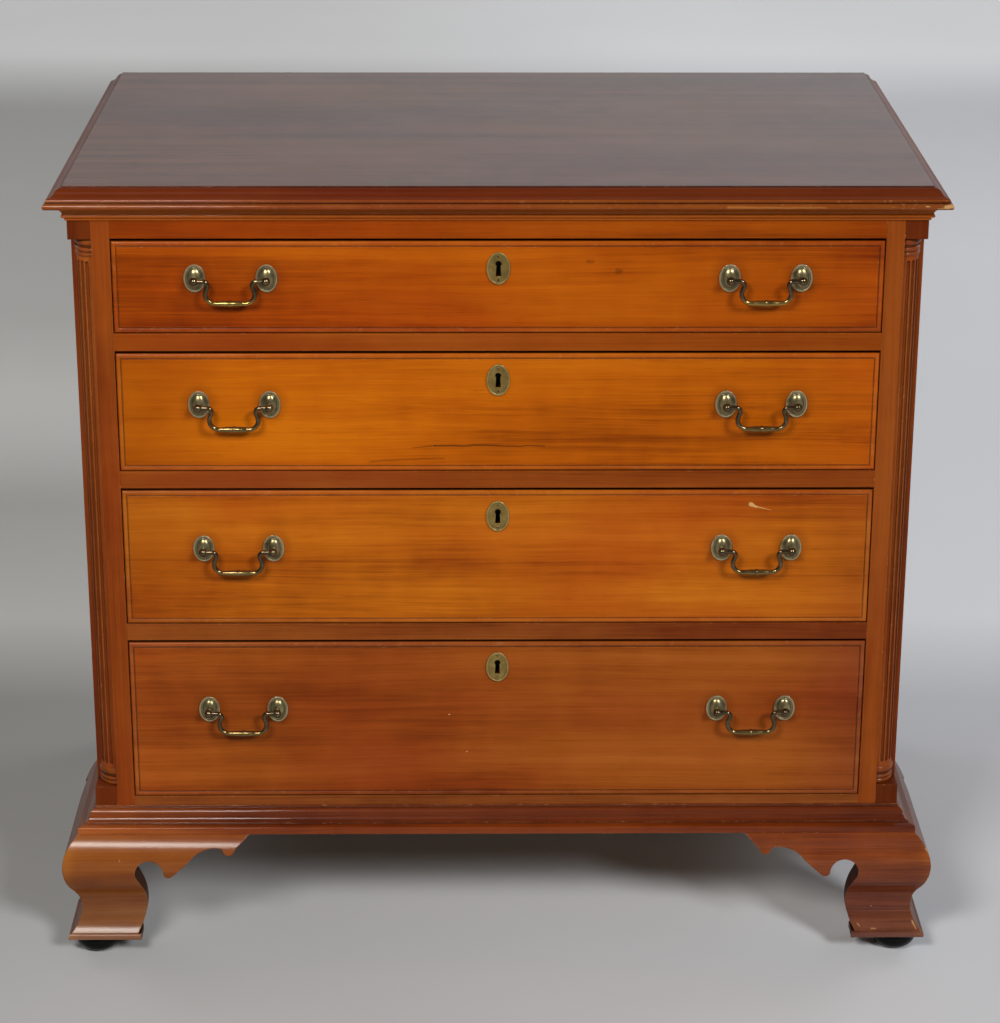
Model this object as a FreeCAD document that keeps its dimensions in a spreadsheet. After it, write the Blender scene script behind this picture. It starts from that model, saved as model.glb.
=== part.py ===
"""Chest of four graduated drawers with fluted quarter columns and ogee bracket feet.

The frame stands on the floor at Z = 0, centred in X and Y, with the drawers facing -Y.
Left means -X, as seen by someone who faces the drawers.
"""
import FreeCAD, Part
import math
import operator
import os
import Sketcher

Vector = FreeCAD.Vector
Rotation = FreeCAD.Rotation

# Driving sizes in millimetres, one cell of the sheet each.
SIZES = {
    # carcase
    "case_width": 930,
    "case_depth": 541,
    "panel_thickness": 19,
    "corner_block": 25,
    "stile_width": 20,
    "stile_depth": 45,
    "divider_thickness": 20,
    "divider_depth": 60,
    "tenon_length": 6,
    "tenon_setback": 5,
    "tenon_width": 35,
    "back_thickness": 12,
    "back_lap": 9,
    "floor_thickness": 18,
    "floor_housing": 6,
    # drawer openings, top to bottom
    "opening_1_height": 108,
    "opening_2_height": 141,
    "opening_3_height": 165,
    "opening_4_height": 198,
    "frieze_reveal": 21,
    "rail_reveal": 11,
    # top board and its moulded edge
    "top_thickness": 22.5,
    "top_overhang": 22.5,
    "top_back_overhang": 6,
    "nose_radius": 3.5,
    "edge_width": 19.5,
    "edge_bead": 5,
    "edge_quirk": 1,
    "edge_step": 1.5,
    # moulding under the top
    "cornice_height": 16,
    "cornice_projection": 12,
    "cornice_fillet": 2,
    "cornice_bead": 4,
    # moulding round the base
    "base_height": 28,
    "base_projection": 20,
    "base_fascia": 8.5,
    "base_shelf": 7.5,
    "base_cove": 7,
    "base_fillet": 3,
    "base_top_width": 1.5,
    # quarter columns
    "column_radius": 20,
    "cap_reveal": 22,
    "plinth_reveal": 23.5,
    "column_bead": 5.2,
    "column_ring": 9,
    "column_groove": 2,
    "flute_radius": 2.2,
    "flute_margin": 7,
    # bracket feet
    "foot_height": 131,
    "foot_bulge": 37.5,
    "foot_flare": 34.5,
    "foot_pad": 8,
    "foot_pad_step": 3,
    "foot_inner": 8,
    "foot_turn_drop": 69,
    "foot_turn": 27,
    "foot_crown_drop": 36,
    "bracket_length": 178,
    "leg_reach": 50,
    "leg_heel": 14,
    "heel_notch": 4,
    "arch_reach": 62.5,
    "arch_radius": 16.5,
    "arch_drop": 42.5,
    "spur_radius": 5.5,
    "scroll_start": 108,
    "scroll_reach": 147.5,
    "scroll_drop": 13.5,
    "lobe_width": 14.5,
    "back_bracket_reach": 120,
    "back_bracket_thickness": 18,
    "glue_block": 38,
    # floor glides
    "glide_height": 22,
    "glide_radius": 26.5,
    "glide_contact": 10,
    "glide_outset": 3.5,
    "glide_nail_radius": 2.5,
    "glide_nail_length": 24,
    # drawers
    "drawer_top_gap": 3.3,
    "drawer_foot_gap": 1,
    "drawer_side_gap": 1,
    "drawer_back_gap": 14,
    "drawer_front_thickness": 20,
    "drawer_side_thickness": 12,
    "drawer_side_drop": 8,
    "drawer_floor_thickness": 6,
    "drawer_floor_raise": 11,
    "drawer_groove": 5,
    "dovetail_lap": 6,
    "tail_pitch": 36,
    "bead_width": 5,
    "quirk_width": 1.2,
    "quirk_depth": 1,
    # runners, guides and stops
    "runner_overlap": 16,
    "guide_height": 22,
    "stop_height": 6,
    "stop_length": 15,
    "stop_width": 40,
    "stop_margin": 120,
    # bail pulls
    "pull_margin": 129.5,
    "pull_boring": 78,
    "post_reach": 14,
    "ball_radius": 4.9,
    "neck_radius": 2.8,
    "bolt_radius": 2,
    "bolt_clearance": 0.2,
    "nut_radius": 4.6,
    "nut_height": 4,
    "rosette_width": 23.5,
    "rosette_height": 31,
    "rosette_rim": 1.7,
    "rosette_edge": 2.4,
    "rosette_plate": 1.4,
    "rosette_dome": 5.5,
    "wire_radius": 2.6,
    "pin_clearance": 0.06,
    "pin_depth": 2.4,
    "neck_reach": 24.3,
    "neck_bend": 4.5,
    "bail_drop": 25,
    "bail_swell": 3.2,
    "bail_swell_length": 30,
    # locks and escutcheons
    "plate_width": 25.5,
    "plate_height": 36,
    "plate_rim": 1.6,
    "plate_edge": 2.2,
    "plate_thickness": 1.3,
    "plate_drop": 30,
    "keyhole_radius": 3.4,
    "keyhole_rise": 5,
    "keyhole_fall": 9,
    "keyhole_foot": 3,
    "keyhole_waist": 2.3,
    "lock_width": 64,
    "lock_height": 50,
    "lock_depth": 11,
    "lock_wall": 3,
    "bolt_width": 20,
    "bolt_thickness": 5,
    "bolt_height": 17,
    "bolt_travel": 9,
    "bolt_play": 0.3,
}

# The drawers from the top down, and the share of each front's height, from its top edge,
# at which its pulls are bored.
DRAWERS = ("1", "2", "3", "4")
PULL_LEVEL = {"1": 0.395, "2": 0.425, "3": 0.425, "4": 0.425}
FLUTES = 4
BACK_BOARDS = 4

doc = FreeCAD.newDocument("Chest")
sheet = doc.addObject("Spreadsheet::Sheet", "Sizes")
for row, (alias, number) in enumerate(SIZES.items(), start=1):
    sheet.set(f"A{row}", alias)
    sheet.set(f"B{row}", str(number))
    sheet.setAlias(f"B{row}", alias)
doc.recompute()


class Size:
    """A length from the sheet, or one worked out from such lengths, with its formula."""

    def __init__(self, value, formula):
        self.value = float(value)
        self.formula = formula

    def __add__(self, other):
        return join(self, other, "+", operator.add)

    def __radd__(self, other):
        return join(other, self, "+", operator.add)

    def __sub__(self, other):
        return join(self, other, "-", operator.sub)

    def __rsub__(self, other):
        return join(other, self, "-", operator.sub)

    def __mul__(self, other):
        return join(self, other, "*", operator.mul)

    def __rmul__(self, other):
        return join(other, self, "*", operator.mul)

    def __truediv__(self, other):
        return join(self, other, "/", operator.truediv)

    def __neg__(self):
        return Size(-self.value, f"(0 - {self.formula})")


def as_size(number):
    """A plain number as a Size; a Size as it is."""
    if isinstance(number, Size):
        return number
    return Size(number, f"({number})")


def join(left, right, sign, work):
    """The Size of two sizes under one arithmetic sign."""
    left = as_size(left)
    right = as_size(right)
    return Size(work(left.value, right.value), f"({left.formula} {sign} {right.formula})")


def cell(alias):
    """The Size held by one cell of the sheet."""
    return Size(sheet.get(alias), f"Sizes.{alias}")


def diagonal(across, along):
    """The straight distance covered by two sizes at right angles."""
    across = as_size(across)
    along = as_size(along)
    formula = f"sqrt({across.formula} ^ 2 + {along.formula} ^ 2)"
    return Size(math.hypot(across.value, along.value), formula)


def bind(item, name, size):
    """Ties one property of a document object to the sheet."""
    item.setExpression(name, as_size(size).formula)


def place(item, x, y, z, rotation=None):
    """Puts a document object at a point tied to the sheet."""
    spot = [as_size(part) for part in (x, y, z)]
    base = Vector(*[part.value for part in spot])
    item.Placement = FreeCAD.Placement(base, rotation or Rotation())
    for axis, part in zip("xyz", spot):
        bind(item, f"Placement.Base.{axis}", part)


# How a sketch's own x and y lie: on the plan, facing the front, or along the side.
PLAN = Rotation()
FRONT = Rotation(Vector(1, 0, 0), 90)
SIDE = Rotation(Vector(1, 1, 1), 120)


def arc_edge(start, end, bulge):
    """Circular edge between two points; bulge is the tangent of a quarter of its turn."""
    chord = end - start
    left = Vector(-chord.y, chord.x, 0)
    centre = (start + end) * 0.5 + left * ((1 - bulge ** 2) / (4 * bulge))
    first, last = (start, end) if bulge > 0 else (end, start)
    turns = [math.atan2(point.y - centre.y, point.x - centre.x) for point in (first, last)]
    if turns[1] <= turns[0]:
        turns[1] += 2 * math.pi
    circle = Part.Circle(centre, Vector(0, 0, 1), (start - centre).Length)
    return Part.ArcOfCircle(circle, turns[0], turns[1])


def sketch(name, path, rotation, at=(0, 0, 0), closed=True):
    """Outline through points (x, y, bulge to the next), each held by the sheet."""
    drawing = doc.addObject("Sketcher::SketchObject", name)
    place(drawing, *at, rotation)
    points = [tuple(point) + (0,) * (3 - len(point)) for point in path]
    spots = [Vector(as_size(x).value, as_size(y).value, 0) for x, y, bulge in points]
    count = len(points) if closed else len(points) - 1
    rules = []
    formulas = []

    def hold(kind, geometry, end, size):
        rules.append(Sketcher.Constraint(kind, -1, 1, geometry, end, as_size(size).value))
        formulas.append((len(rules) - 1, as_size(size)))

    ends = []
    for index in range(count):
        following = (index + 1) % len(points)
        x, y, bulge = points[index]
        if bulge:
            drawing.addGeometry(arc_edge(spots[index], spots[following], bulge), False)
            ends.append((1, 2) if bulge > 0 else (2, 1))
            chord = diagonal(points[following][0] - as_size(x), points[following][1] - as_size(y))
            radius = chord * ((1 + bulge ** 2) / (4 * abs(bulge)))
            rules.append(Sketcher.Constraint("Radius", index, radius.value))
            formulas.append((len(rules) - 1, radius))
        else:
            drawing.addGeometry(Part.LineSegment(spots[index], spots[following]), False)
            ends.append((1, 2))
        hold("DistanceX", index, ends[index][0], x)
        hold("DistanceY", index, ends[index][0], y)
    if closed:
        for index in range(count):
            after = (index + 1) % count
            rules.append(Sketcher.Constraint("Coincident", index, ends[index][1], after, ends[after][0]))
    else:
        for index in range(count - 1):
            after = index + 1
            rules.append(Sketcher.Constraint("Coincident", index, ends[index][1], after, ends[after][0]))
        hold("DistanceX", count - 1, ends[-1][1], points[-1][0])
        hold("DistanceY", count - 1, ends[-1][1], points[-1][1])
    drawing.addConstraint(rules)
    for index, size in formulas:
        drawing.setExpression(f"Constraints[{index}]", size.formula)
    return drawing


def facing_right(profile, at_x, at_y):
    """A moulding's rising profile whose outward side is +x of the sketch."""
    return [(at_x + out, at_y + up, bulge) for out, up, bulge in profile]


def facing_left(profile, at_x, at_y):
    """The same profile whose outward side is -x of the sketch."""
    return [(at_x - out, at_y + up, -bulge) for out, up, bulge in profile]


def downwards(path):
    """The same path walked from its last point to its first."""
    bulges = [-point[2] for point in path[:-1]][::-1] + [0]
    return [(point[0], point[1], bulge) for point, bulge in zip(path[::-1], bulges)]


def extrude(name, drawing, length):
    """Solid drawn out along the sketch's normal."""
    solid = doc.addObject("Part::Extrusion", name)
    solid.Base = drawing
    solid.DirMode = "Normal"
    solid.Solid = True
    bind(solid, "LengthFwd", length)
    return solid


def revolve(name, drawing, base, axis, angle=360):
    """Solid turned round an axis through a point tied to the sheet."""
    solid = doc.addObject("Part::Revolution", name)
    solid.Source = drawing
    solid.Axis = axis
    solid.Angle = angle
    solid.Solid = True
    for letter, part in zip("xyz", base):
        bind(solid, f"Base.{letter}", part)
    return solid


def box(name, x, y, z):
    """Rectangular solid from pairs of low and high sides."""
    solid = doc.addObject("Part::Box", name)
    for side, (low, high) in zip(("Length", "Width", "Height"), (x, y, z)):
        bind(solid, side, high - as_size(low))
    place(solid, x[0], y[0], z[0])
    return solid


def cylinder(name, radius, height, at, rotation=None):
    """Round bar from a point along its own axis, upwards unless turned."""
    solid = doc.addObject("Part::Cylinder", name)
    bind(solid, "Radius", radius)
    bind(solid, "Height", height)
    place(solid, *at, rotation)
    return solid


def oval(name, width, height, depth, ahead=0):
    """Upright elliptical disc, drawn out along -Y from a plane ahead of Y = 0."""
    outline = doc.addObject("Part::Ellipse", f"{name}_outline")
    bind(outline, "MajorRadius", height / 2)
    bind(outline, "MinorRadius", width / 2)
    place(outline, 0, -as_size(ahead), 0, FRONT.multiply(Rotation(Vector(0, 0, 1), 90)))
    disc = extrude(name, outline, depth)
    disc.DirMode = "Custom"
    disc.Dir = Vector(0, -1, 0)
    return disc


def many(kind, name, items):
    """One boolean of several solids."""
    result = doc.addObject(kind, name)
    result.Shapes = list(items)
    return result


def fuse(name, *items):
    result = many("Part::MultiFuse", name, items)
    result.Refine = True
    return result


def common(name, *items):
    return many("Part::MultiCommon", name, items)


def cut(name, base, *tools):
    """A solid less one or more others."""
    result = doc.addObject("Part::Cut", name)
    result.Base = base
    result.Tool = tools[0] if len(tools) == 1 else many("Part::MultiFuse", f"{name}_tools", tools)
    return result


def mirror(name, item, normal=(1, 0, 0), base=None):
    """A solid's mirror image, in the chest's middle plane unless another is given."""
    image = doc.addObject("Part::Mirroring", name)
    image.Source = item
    image.Normal = Vector(*normal)
    for letter, part in zip("xyz", base or ()):
        bind(image, f"Base.{letter}", part)
    return image


def moved(name, item, x, y, z):
    """A copy of a solid at another point."""
    copy = doc.addObject("Part::Compound", name)
    copy.Links = [item]
    place(copy, x, y, z)
    return copy


parts = []


def part(label, *items):
    """Keeps one solid, or a group of separate solids, as a named sub-part."""
    if len(items) == 1:
        result = items[0]
    else:
        result = doc.addObject("Part::Compound", label)
        result.Links = list(items)
    result.Label = label
    parts.append(result)
    return result


# Planes and levels that several pieces share.
half_width = cell("case_width") / 2
front = (cell("foot_bulge") - cell("case_depth") - cell("top_back_overhang")) / 2
back = front + cell("case_depth")
column_x = half_width - cell("corner_block")
column_y = front + cell("corner_block")
opening_half = column_x - cell("stile_width")
panel_inner = half_width - cell("panel_thickness")
rail_back = front + cell("divider_depth")
back_face = back - cell("back_thickness")
foot_base = cell("glide_height")
case_base = foot_base + cell("foot_height")
base_top = case_base + cell("base_height")
case_floor = case_base + cell("floor_thickness")

opening_floor = {}
opening_roof = {}
level = base_top + cell("rail_reveal")
for drawer in reversed(DRAWERS):
    opening_floor[drawer] = level
    opening_roof[drawer] = level + cell(f"opening_{drawer}_height")
    level = opening_roof[drawer] + cell("divider_thickness")
cornice_base = opening_roof[DRAWERS[0]] + cell("frieze_reveal")
case_top = cornice_base + cell("cornice_height")

drawer_half = opening_half - cell("drawer_side_gap")
drawer_inner = drawer_half - cell("drawer_side_thickness")
drawer_face_back = front + cell("drawer_front_thickness")
drawer_rear = back_face - cell("drawer_back_gap")
drawer_top = {drawer: opening_roof[drawer] - cell("drawer_top_gap") for drawer in DRAWERS}
drawer_foot = {drawer: opening_floor[drawer] + cell("drawer_foot_gap") for drawer in DRAWERS}


def top_board():
    """Top with a nosing, a bead and an ogee worked on its front and side edges."""
    out = cell("top_overhang")
    nose_back = out - cell("nose_radius")
    bead_low = cell("nose_radius") * 2
    bead_high = bead_low + cell("edge_bead")
    quirk = nose_back - cell("edge_quirk")
    flat = out - cell("edge_width")
    step = cell("top_thickness") - cell("edge_step")
    ogee_low = quirk - cell("edge_quirk")
    ogee_high = flat + cell("edge_quirk")
    edge = [
        (nose_back, 0, 0.98),
        (nose_back, bead_low, 0),
        (quirk, bead_low, 0.6),
        (ogee_low, bead_high, -0.25),
        ((ogee_low + ogee_high) / 2, (bead_high + step) / 2, 0.25),
        (ogee_high, step, 0),
        (flat, step, 0),
        (flat, cell("top_thickness"), 0),
    ]
    rear = back + cell("top_back_overhang")
    along = facing_left(edge, front, case_top)
    along += [(rear, case_top + cell("top_thickness")), (rear, case_top)]
    side = half_width + out
    length = extrude("top_length", sketch("top_side_section", along, SIDE, (-side, 0, 0)), side * 2)
    across = facing_right(edge, half_width, case_top)
    across += downwards(facing_left(edge, -half_width, case_top))
    depth = rear - front + out
    width = extrude("top_width", sketch("top_front_section", across, FRONT, (0, rear, 0)), depth)
    part("top_board", common("top_board", length, width))


def mitred_runs(name, profile, projection, low, height):
    """Front, left and right lengths of one moulding, mitred at the front corners."""
    section = facing_left(profile, front, low)
    side = half_width + projection
    drawing = sketch(f"{name}_section", section, SIDE, (-side, 0, 0))
    length = extrude(f"{name}_front_length", drawing, side * 2)
    corner = front - projection
    plan = [(-half_width, front), (-side, corner), (side, corner), (half_width, front)]
    drawing = sketch(f"{name}_front_plan", plan, PLAN, (0, 0, low))
    mitre = extrude(f"{name}_front_mitre", drawing, height)
    front_run = common(f"{name}_front", length, mitre)

    end_section = facing_left(profile, -half_width, low)
    depth = cell("case_depth") + projection
    drawing = sketch(f"{name}_end_section", end_section, FRONT, (0, back, 0))
    end_length = extrude(f"{name}_left_length", drawing, depth)
    end_plan = [(-half_width, front), (-half_width, back), (-side, back), (-side, corner)]
    drawing = sketch(f"{name}_left_plan", end_plan, PLAN, (0, 0, low))
    end_mitre = extrude(f"{name}_left_mitre", drawing, height)
    left_run = common(f"{name}_left", end_length, end_mitre)
    return front_run, left_run, mirror(f"{name}_right", left_run)


def cornice():
    """Cove over a small bead and fillet, under the top."""
    fillet = cell("cornice_fillet")
    bead = cell("cornice_bead")
    bead_low = fillet * 1.6
    bead_high = bead_low + bead
    projection = cell("cornice_projection")
    height = cell("cornice_height")
    cove_top = height - fillet
    profile = [
        (0, 0, 0),
        (fillet, 0, 0),
        (fillet, bead_low, 0),
        (bead, bead_low, 0.7),
        (bead, bead_high, 0),
        (bead, bead_high + fillet / 4, -0.35),
        (projection, cove_top, 0),
        (projection, height, 0),
        (0, height, 0),
    ]
    part("cornice_moulding", *mitred_runs("cornice", profile, projection, cornice_base, height))


def base_moulding():
    """Fascia, shelf, cove and bead that step in from the feet to the case."""
    projection = cell("base_projection")
    height = cell("base_height")
    fascia = cell("base_fascia")
    arris = fascia / 6
    shelf = projection - cell("base_shelf")
    shelf_top = fascia + cell("base_fillet") / 2
    cove_low = shelf_top + cell("base_fillet") / 2
    cove_high = cove_low + cell("base_cove")
    cove_in = (shelf + cell("base_top_width")) / 2
    bead_high = height - cell("base_fillet")
    neck = cell("base_top_width")
    profile = [
        (0, 0, 0),
        (projection, 0, 0),
        (projection, fascia - arris, 0.41),
        (projection - arris, fascia, 0),
        (shelf, shelf_top, 0),
        (shelf, cove_low, -0.3),
        (cove_in, cove_high, 0.35),
        (neck + arris / 2, bead_high, 0),
        (neck, bead_high, 0),
        (neck, height, 0),
        (0, height, 0),
    ]
    runs = mitred_runs("base_moulding", profile, projection, case_base, height)
    part("base_moulding_front", runs[0])
    part("base_moulding_sides", *runs[1:])


def side_panels():
    """Case sides, rebated for the back and housed for the case floor."""
    panel = box("side_blank", (-half_width, -panel_inner), (column_y, back), (case_base, case_top))
    lap = -panel_inner - cell("back_lap")
    rebate = box("back_rebate", (lap, -panel_inner), (back_face, back), (case_base, case_top))
    housing = box(
        "floor_housing",
        (-panel_inner - cell("floor_housing"), -panel_inner),
        (rail_back, back_face),
        (case_base, case_floor),
    )
    left = cut("side_panel_left", panel, rebate, housing)
    part("side_panel_left", left)
    part("side_panel_right", mirror("side_panel_right", left))


def bolt_mortise(drawer):
    """Pocket in the rail above a drawer that takes its lock bolt."""
    play = cell("bolt_play") * 3
    reach = cell("bolt_travel") - cell("drawer_top_gap") + 1
    near, far = bolt_sides()
    half = cell("bolt_width") / 2 + play
    roof = opening_roof[drawer]
    return box(f"bolt_mortise_{drawer}", (-half, half), (near - play, far + play), (roof, roof + reach))


def bolt_sides():
    """Front and back planes of a lock bolt."""
    near = drawer_face_back - cell("lock_depth") + cell("lock_wall") + cell("bolt_play")
    return near, near + cell("bolt_thickness")


def rails_and_stiles():
    """Front frame: rails and dividers with stub tenons let into the stiles."""
    highest = DRAWERS[0]
    lowest = DRAWERS[-1]
    spans = {
        "top_rail": (opening_roof[highest], case_top),
        "bottom_rail": (case_base, opening_floor[lowest]),
    }
    for above, below in zip(DRAWERS, DRAWERS[1:]):
        spans[f"divider_{above}"] = (opening_roof[below], opening_floor[above])
    reach = opening_half + cell("tenon_length")
    tenon_front = front + cell("tenon_setback")
    tenon_sides = (tenon_front, tenon_front + cell("tenon_width"))
    rails = {}
    tenons = []
    for name, span in spans.items():
        body = box(f"{name}_body", (-opening_half, opening_half), (front, rail_back), span)
        tenon = box(f"{name}_tenons", (-reach, reach), tenon_sides, span)
        rails[name] = fuse(f"{name}_blank", body, tenon)
        tenons.append(tenon)
    part("top_rail", cut("top_rail", rails["top_rail"], bolt_mortise(highest)))
    dividers = []
    for above, below in zip(DRAWERS, DRAWERS[1:]):
        name = f"divider_{above}"
        dividers.append(cut(f"{name}_rail", rails[name], bolt_mortise(below)))
    part("drawer_dividers", *dividers)
    part("bottom_rail", rails["bottom_rail"])

    stile_back = front + cell("stile_depth")
    height = (case_base, case_top)
    face = box("stile_face", (-column_x, -opening_half), (front, stile_back), height)
    return_piece = box("stile_return", (-panel_inner, -column_x), (column_y, stile_back), height)
    left = cut("front_stile_left", fuse("stile_blank", face, return_piece), *tenons)
    part("front_stile_left", left)
    part("front_stile_right", mirror("front_stile_right", left))


def columns():
    """Fluted quarter columns with turned bases and capitals, between square blocks."""
    radius = cell("column_radius")
    low = base_top + cell("plinth_reveal")
    high = cornice_base - cell("cap_reveal")
    groove = cell("column_groove")
    bead = cell("column_bead")
    ring_low = low + bead * 2 + groove
    ring_top = ring_low + cell("column_ring")
    neck = high - cell("column_ring")
    beads_top = neck - groove
    beads_low = beads_top - bead * 2
    waist = radius - groove / 2
    profile = [
        (0, low, 0),
        (radius, low, 0.55),
        (radius, low + bead, 0.55),
        (radius, low + bead * 2, 0),
        (waist, low + bead * 2, 0),
        (waist, ring_low, 0),
        (radius, ring_low, 0.5),
        (radius, ring_top, 0),
        (radius, beads_low, 0.55),
        (radius, beads_low + bead, 0.55),
        (radius, beads_top, 0),
        (waist, beads_top, 0),
        (waist, neck, 0),
        (radius, neck, 0.5),
        (radius, high, 0),
        (0, high, 0),
    ]
    axis = (-column_x, column_y, 0)
    outwards = Rotation(Vector(0, 0, 1), 180).multiply(FRONT)
    turning = sketch("column_profile", profile, outwards, axis)
    shaft = revolve("column_turning", turning, axis, Vector(0, 0, 1), 90)

    flute = cell("flute_radius")
    flute_low = ring_top + cell("flute_margin")
    flute_high = beads_low - cell("flute_margin")
    flutes = []
    for number in range(FLUTES):
        turn = math.radians(90 * (number + 1) / (FLUTES + 1))
        x = -column_x - radius * math.cos(turn)
        y = column_y - radius * math.sin(turn)
        flutes.append(cylinder(f"flute_{number}", flute, flute_high - flute_low, (x, y, flute_low)))
        for end, z in (("foot", flute_low), ("head", flute_high)):
            rounding = doc.addObject("Part::Sphere", f"flute_{end}_{number}")
            bind(rounding, "Radius", flute)
            place(rounding, x, y, z)
            flutes.append(rounding)
    left = cut("quarter_column_left", shaft, *flutes)
    part("quarter_column_left", left)
    part("quarter_column_right", mirror("quarter_column_right", left))

    sides = ((-half_width, -column_x), (front, column_y))
    cap = box("cap_block_left", *sides, (high, case_top))
    plinth = box("plinth_block_left", *sides, (case_base, low))
    right_blocks = mirror("cap_block_right", cap), mirror("plinth_block_right", plinth)
    part("column_blocks", cap, plinth, *right_blocks)


def back_and_floor():
    """Back of horizontal boards in the sides' rebates, and the case floor."""
    reach = panel_inner + cell("back_lap")
    board = (case_top - case_base) / BACK_BOARDS
    boards = []
    for number in range(BACK_BOARDS):
        low = case_base + board * number
        rise = (low, low + board)
        boards.append(box(f"back_board_{number}", (-reach, reach), (back_face, back), rise))
    part("back_boards", *boards)
    reach = panel_inner + cell("floor_housing")
    depth = (rail_back, back_face)
    part("case_floor", box("case_floor", (-reach, reach), depth, (case_base, case_floor)))


def runners_and_stops():
    """Runner and guide at each end of every drawer, and blocks that stop the fronts flush."""
    runners = []
    stops = []
    for drawer in DRAWERS:
        floor = opening_floor[drawer]
        bearing = floor - cell("divider_thickness") if drawer != DRAWERS[-1] else case_floor
        inner = opening_half - cell("runner_overlap")
        length = (rail_back, back_face)
        runner = box(f"runner_left_{drawer}", (-panel_inner, -inner), length, (bearing, floor))
        rise = (floor, floor + cell("guide_height"))
        guide = box(f"guide_left_{drawer}", (-panel_inner, -opening_half), length, rise)
        runners += [runner, mirror(f"runner_right_{drawer}", runner)]
        runners += [guide, mirror(f"guide_right_{drawer}", guide)]
        middle = opening_half - cell("stop_margin")
        half = cell("stop_width") / 2
        depth = (drawer_face_back, drawer_face_back + cell("stop_length"))
        height = (floor, floor + cell("stop_height"))
        stop = box(f"stop_left_{drawer}", (-middle - half, -middle + half), depth, height)
        stops += [stop, mirror(f"stop_right_{drawer}", stop)]
    part("drawer_runners", *runners)
    part("drawer_stops", *stops)


def upright_arc(across, along):
    """Bulge of an arc that stands upright at one of its ends."""
    return math.tan(math.atan2(across.value, along.value) / 2)


def bracket(name, mitred):
    """Ogee bracket along the front from the left corner, sawn to a scroll below."""
    bulge = cell("foot_bulge")
    inner = cell("foot_inner")
    height = cell("foot_height")
    length = cell("bracket_length")
    turn = height - cell("foot_turn_drop")
    crown = height - cell("foot_crown_drop")
    swell = upright_arc(bulge - cell("foot_turn"), crown - turn)
    shoulder = upright_arc(bulge - cell("base_projection"), height - crown)
    pad = cell("foot_pad")
    flare = cell("foot_flare")
    nose = pad / 3
    profile = [
        (inner, 0, 0),
        (flare - nose, 0, 0.41),
        (flare, nose, 0),
        (flare, pad - nose, 0.41),
        (flare - nose, pad, 0),
        (flare - cell("foot_pad_step"), pad, -0.36),
        (cell("foot_turn"), turn, swell),
        (bulge, crown, shoulder),
        (cell("base_projection"), height, 0),
        (inner, height, 0),
    ]
    margin = bulge + pad
    section = facing_left(profile, front, foot_base)
    drawing = sketch(f"{name}_section", section, SIDE, (-half_width - margin, 0, 0))
    ogee = extrude(f"{name}_ogee", drawing, length + margin)

    arch_z = height - cell("arch_drop")
    arch = cell("arch_radius")
    arch_x = cell("arch_reach")
    leg_turn = math.radians(30)
    leg = cell("leg_reach")
    arch_sweep = math.tan((math.pi / 2 + leg_turn) / 4)
    scroll_z = height - cell("scroll_drop")
    spur = cell("spur_radius")
    spur_rise = math.radians(45)
    spur_x = arch_x + arch + spur
    outline = [
        (-margin, 0, 0),
        (leg, 0, 0),
        (leg, pad, 0),
        (leg - cell("heel_notch"), pad, 0.285),
        (arch_x - arch * math.cos(leg_turn), arch_z - arch * math.sin(leg_turn), -arch_sweep),
        (arch_x, arch_z + arch, -0.414),
        (arch_x + arch, arch_z, math.tan((math.pi / 2 + spur_rise) / 4)),
        (spur_x + spur * math.sin(spur_rise), arch_z - spur * math.cos(spur_rise), 0),
        (cell("scroll_start"), (scroll_z + arch_z) / 2, -0.31),
        (cell("scroll_reach"), scroll_z, 0.9),
        (cell("scroll_reach") + cell("lobe_width"), scroll_z, 0),
        (length, height, 0),
        (-margin, height, 0),
    ]
    origin = (-half_width, front - inner, foot_base)
    sawn = extrude(f"{name}_sawn", sketch(f"{name}_outline", outline, FRONT, origin), margin - inner)

    start = (-margin, -inner) if mitred else (0, 0)
    plan = [(start[0], -margin), (length, -margin), (length, -inner), (start[1], -inner)]
    drawing = sketch(f"{name}_plan", plan, PLAN, (-half_width, front, foot_base))
    shape = extrude(f"{name}_end", drawing, height)
    return common(name, ogee, sawn, shape)


def feet():
    """Mitred ogee brackets in front, and an ogee side with a plain back bracket behind."""
    corner = (-half_width, front, 0)
    across = (1, -1, 0)
    face = bracket("bracket_front", True)
    front_left = part("foot_front_left", face, mirror("bracket_side", face, across, corner))
    part("foot_front_right", mirror("foot_front_right", front_left))

    square = mirror("bracket_square_side", bracket("bracket_square", False), across, corner)
    middle = (front + back) / 2
    rear_side = mirror("bracket_rear_side", square, (0, 1, 0), (0, middle, 0))
    inner = cell("foot_inner")
    height = cell("foot_height")
    reach = cell("back_bracket_reach")
    leg = cell("leg_reach")
    rise = height - cell("scroll_drop")
    plain = [
        (-inner, 0, 0),
        (leg, 0, 0),
        (leg, cell("leg_heel"), -0.3),
        (reach, rise, 0),
        (reach, height, 0),
        (-inner, height, 0),
    ]
    drawing = sketch("back_bracket_outline", plain, FRONT, (-half_width, back, foot_base))
    rear_back = extrude("bracket_rear_back", drawing, cell("back_bracket_thickness"))
    rear_left = part("foot_rear_left", rear_side, rear_back)
    part("foot_rear_right", mirror("foot_rear_right", rear_left))


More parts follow.
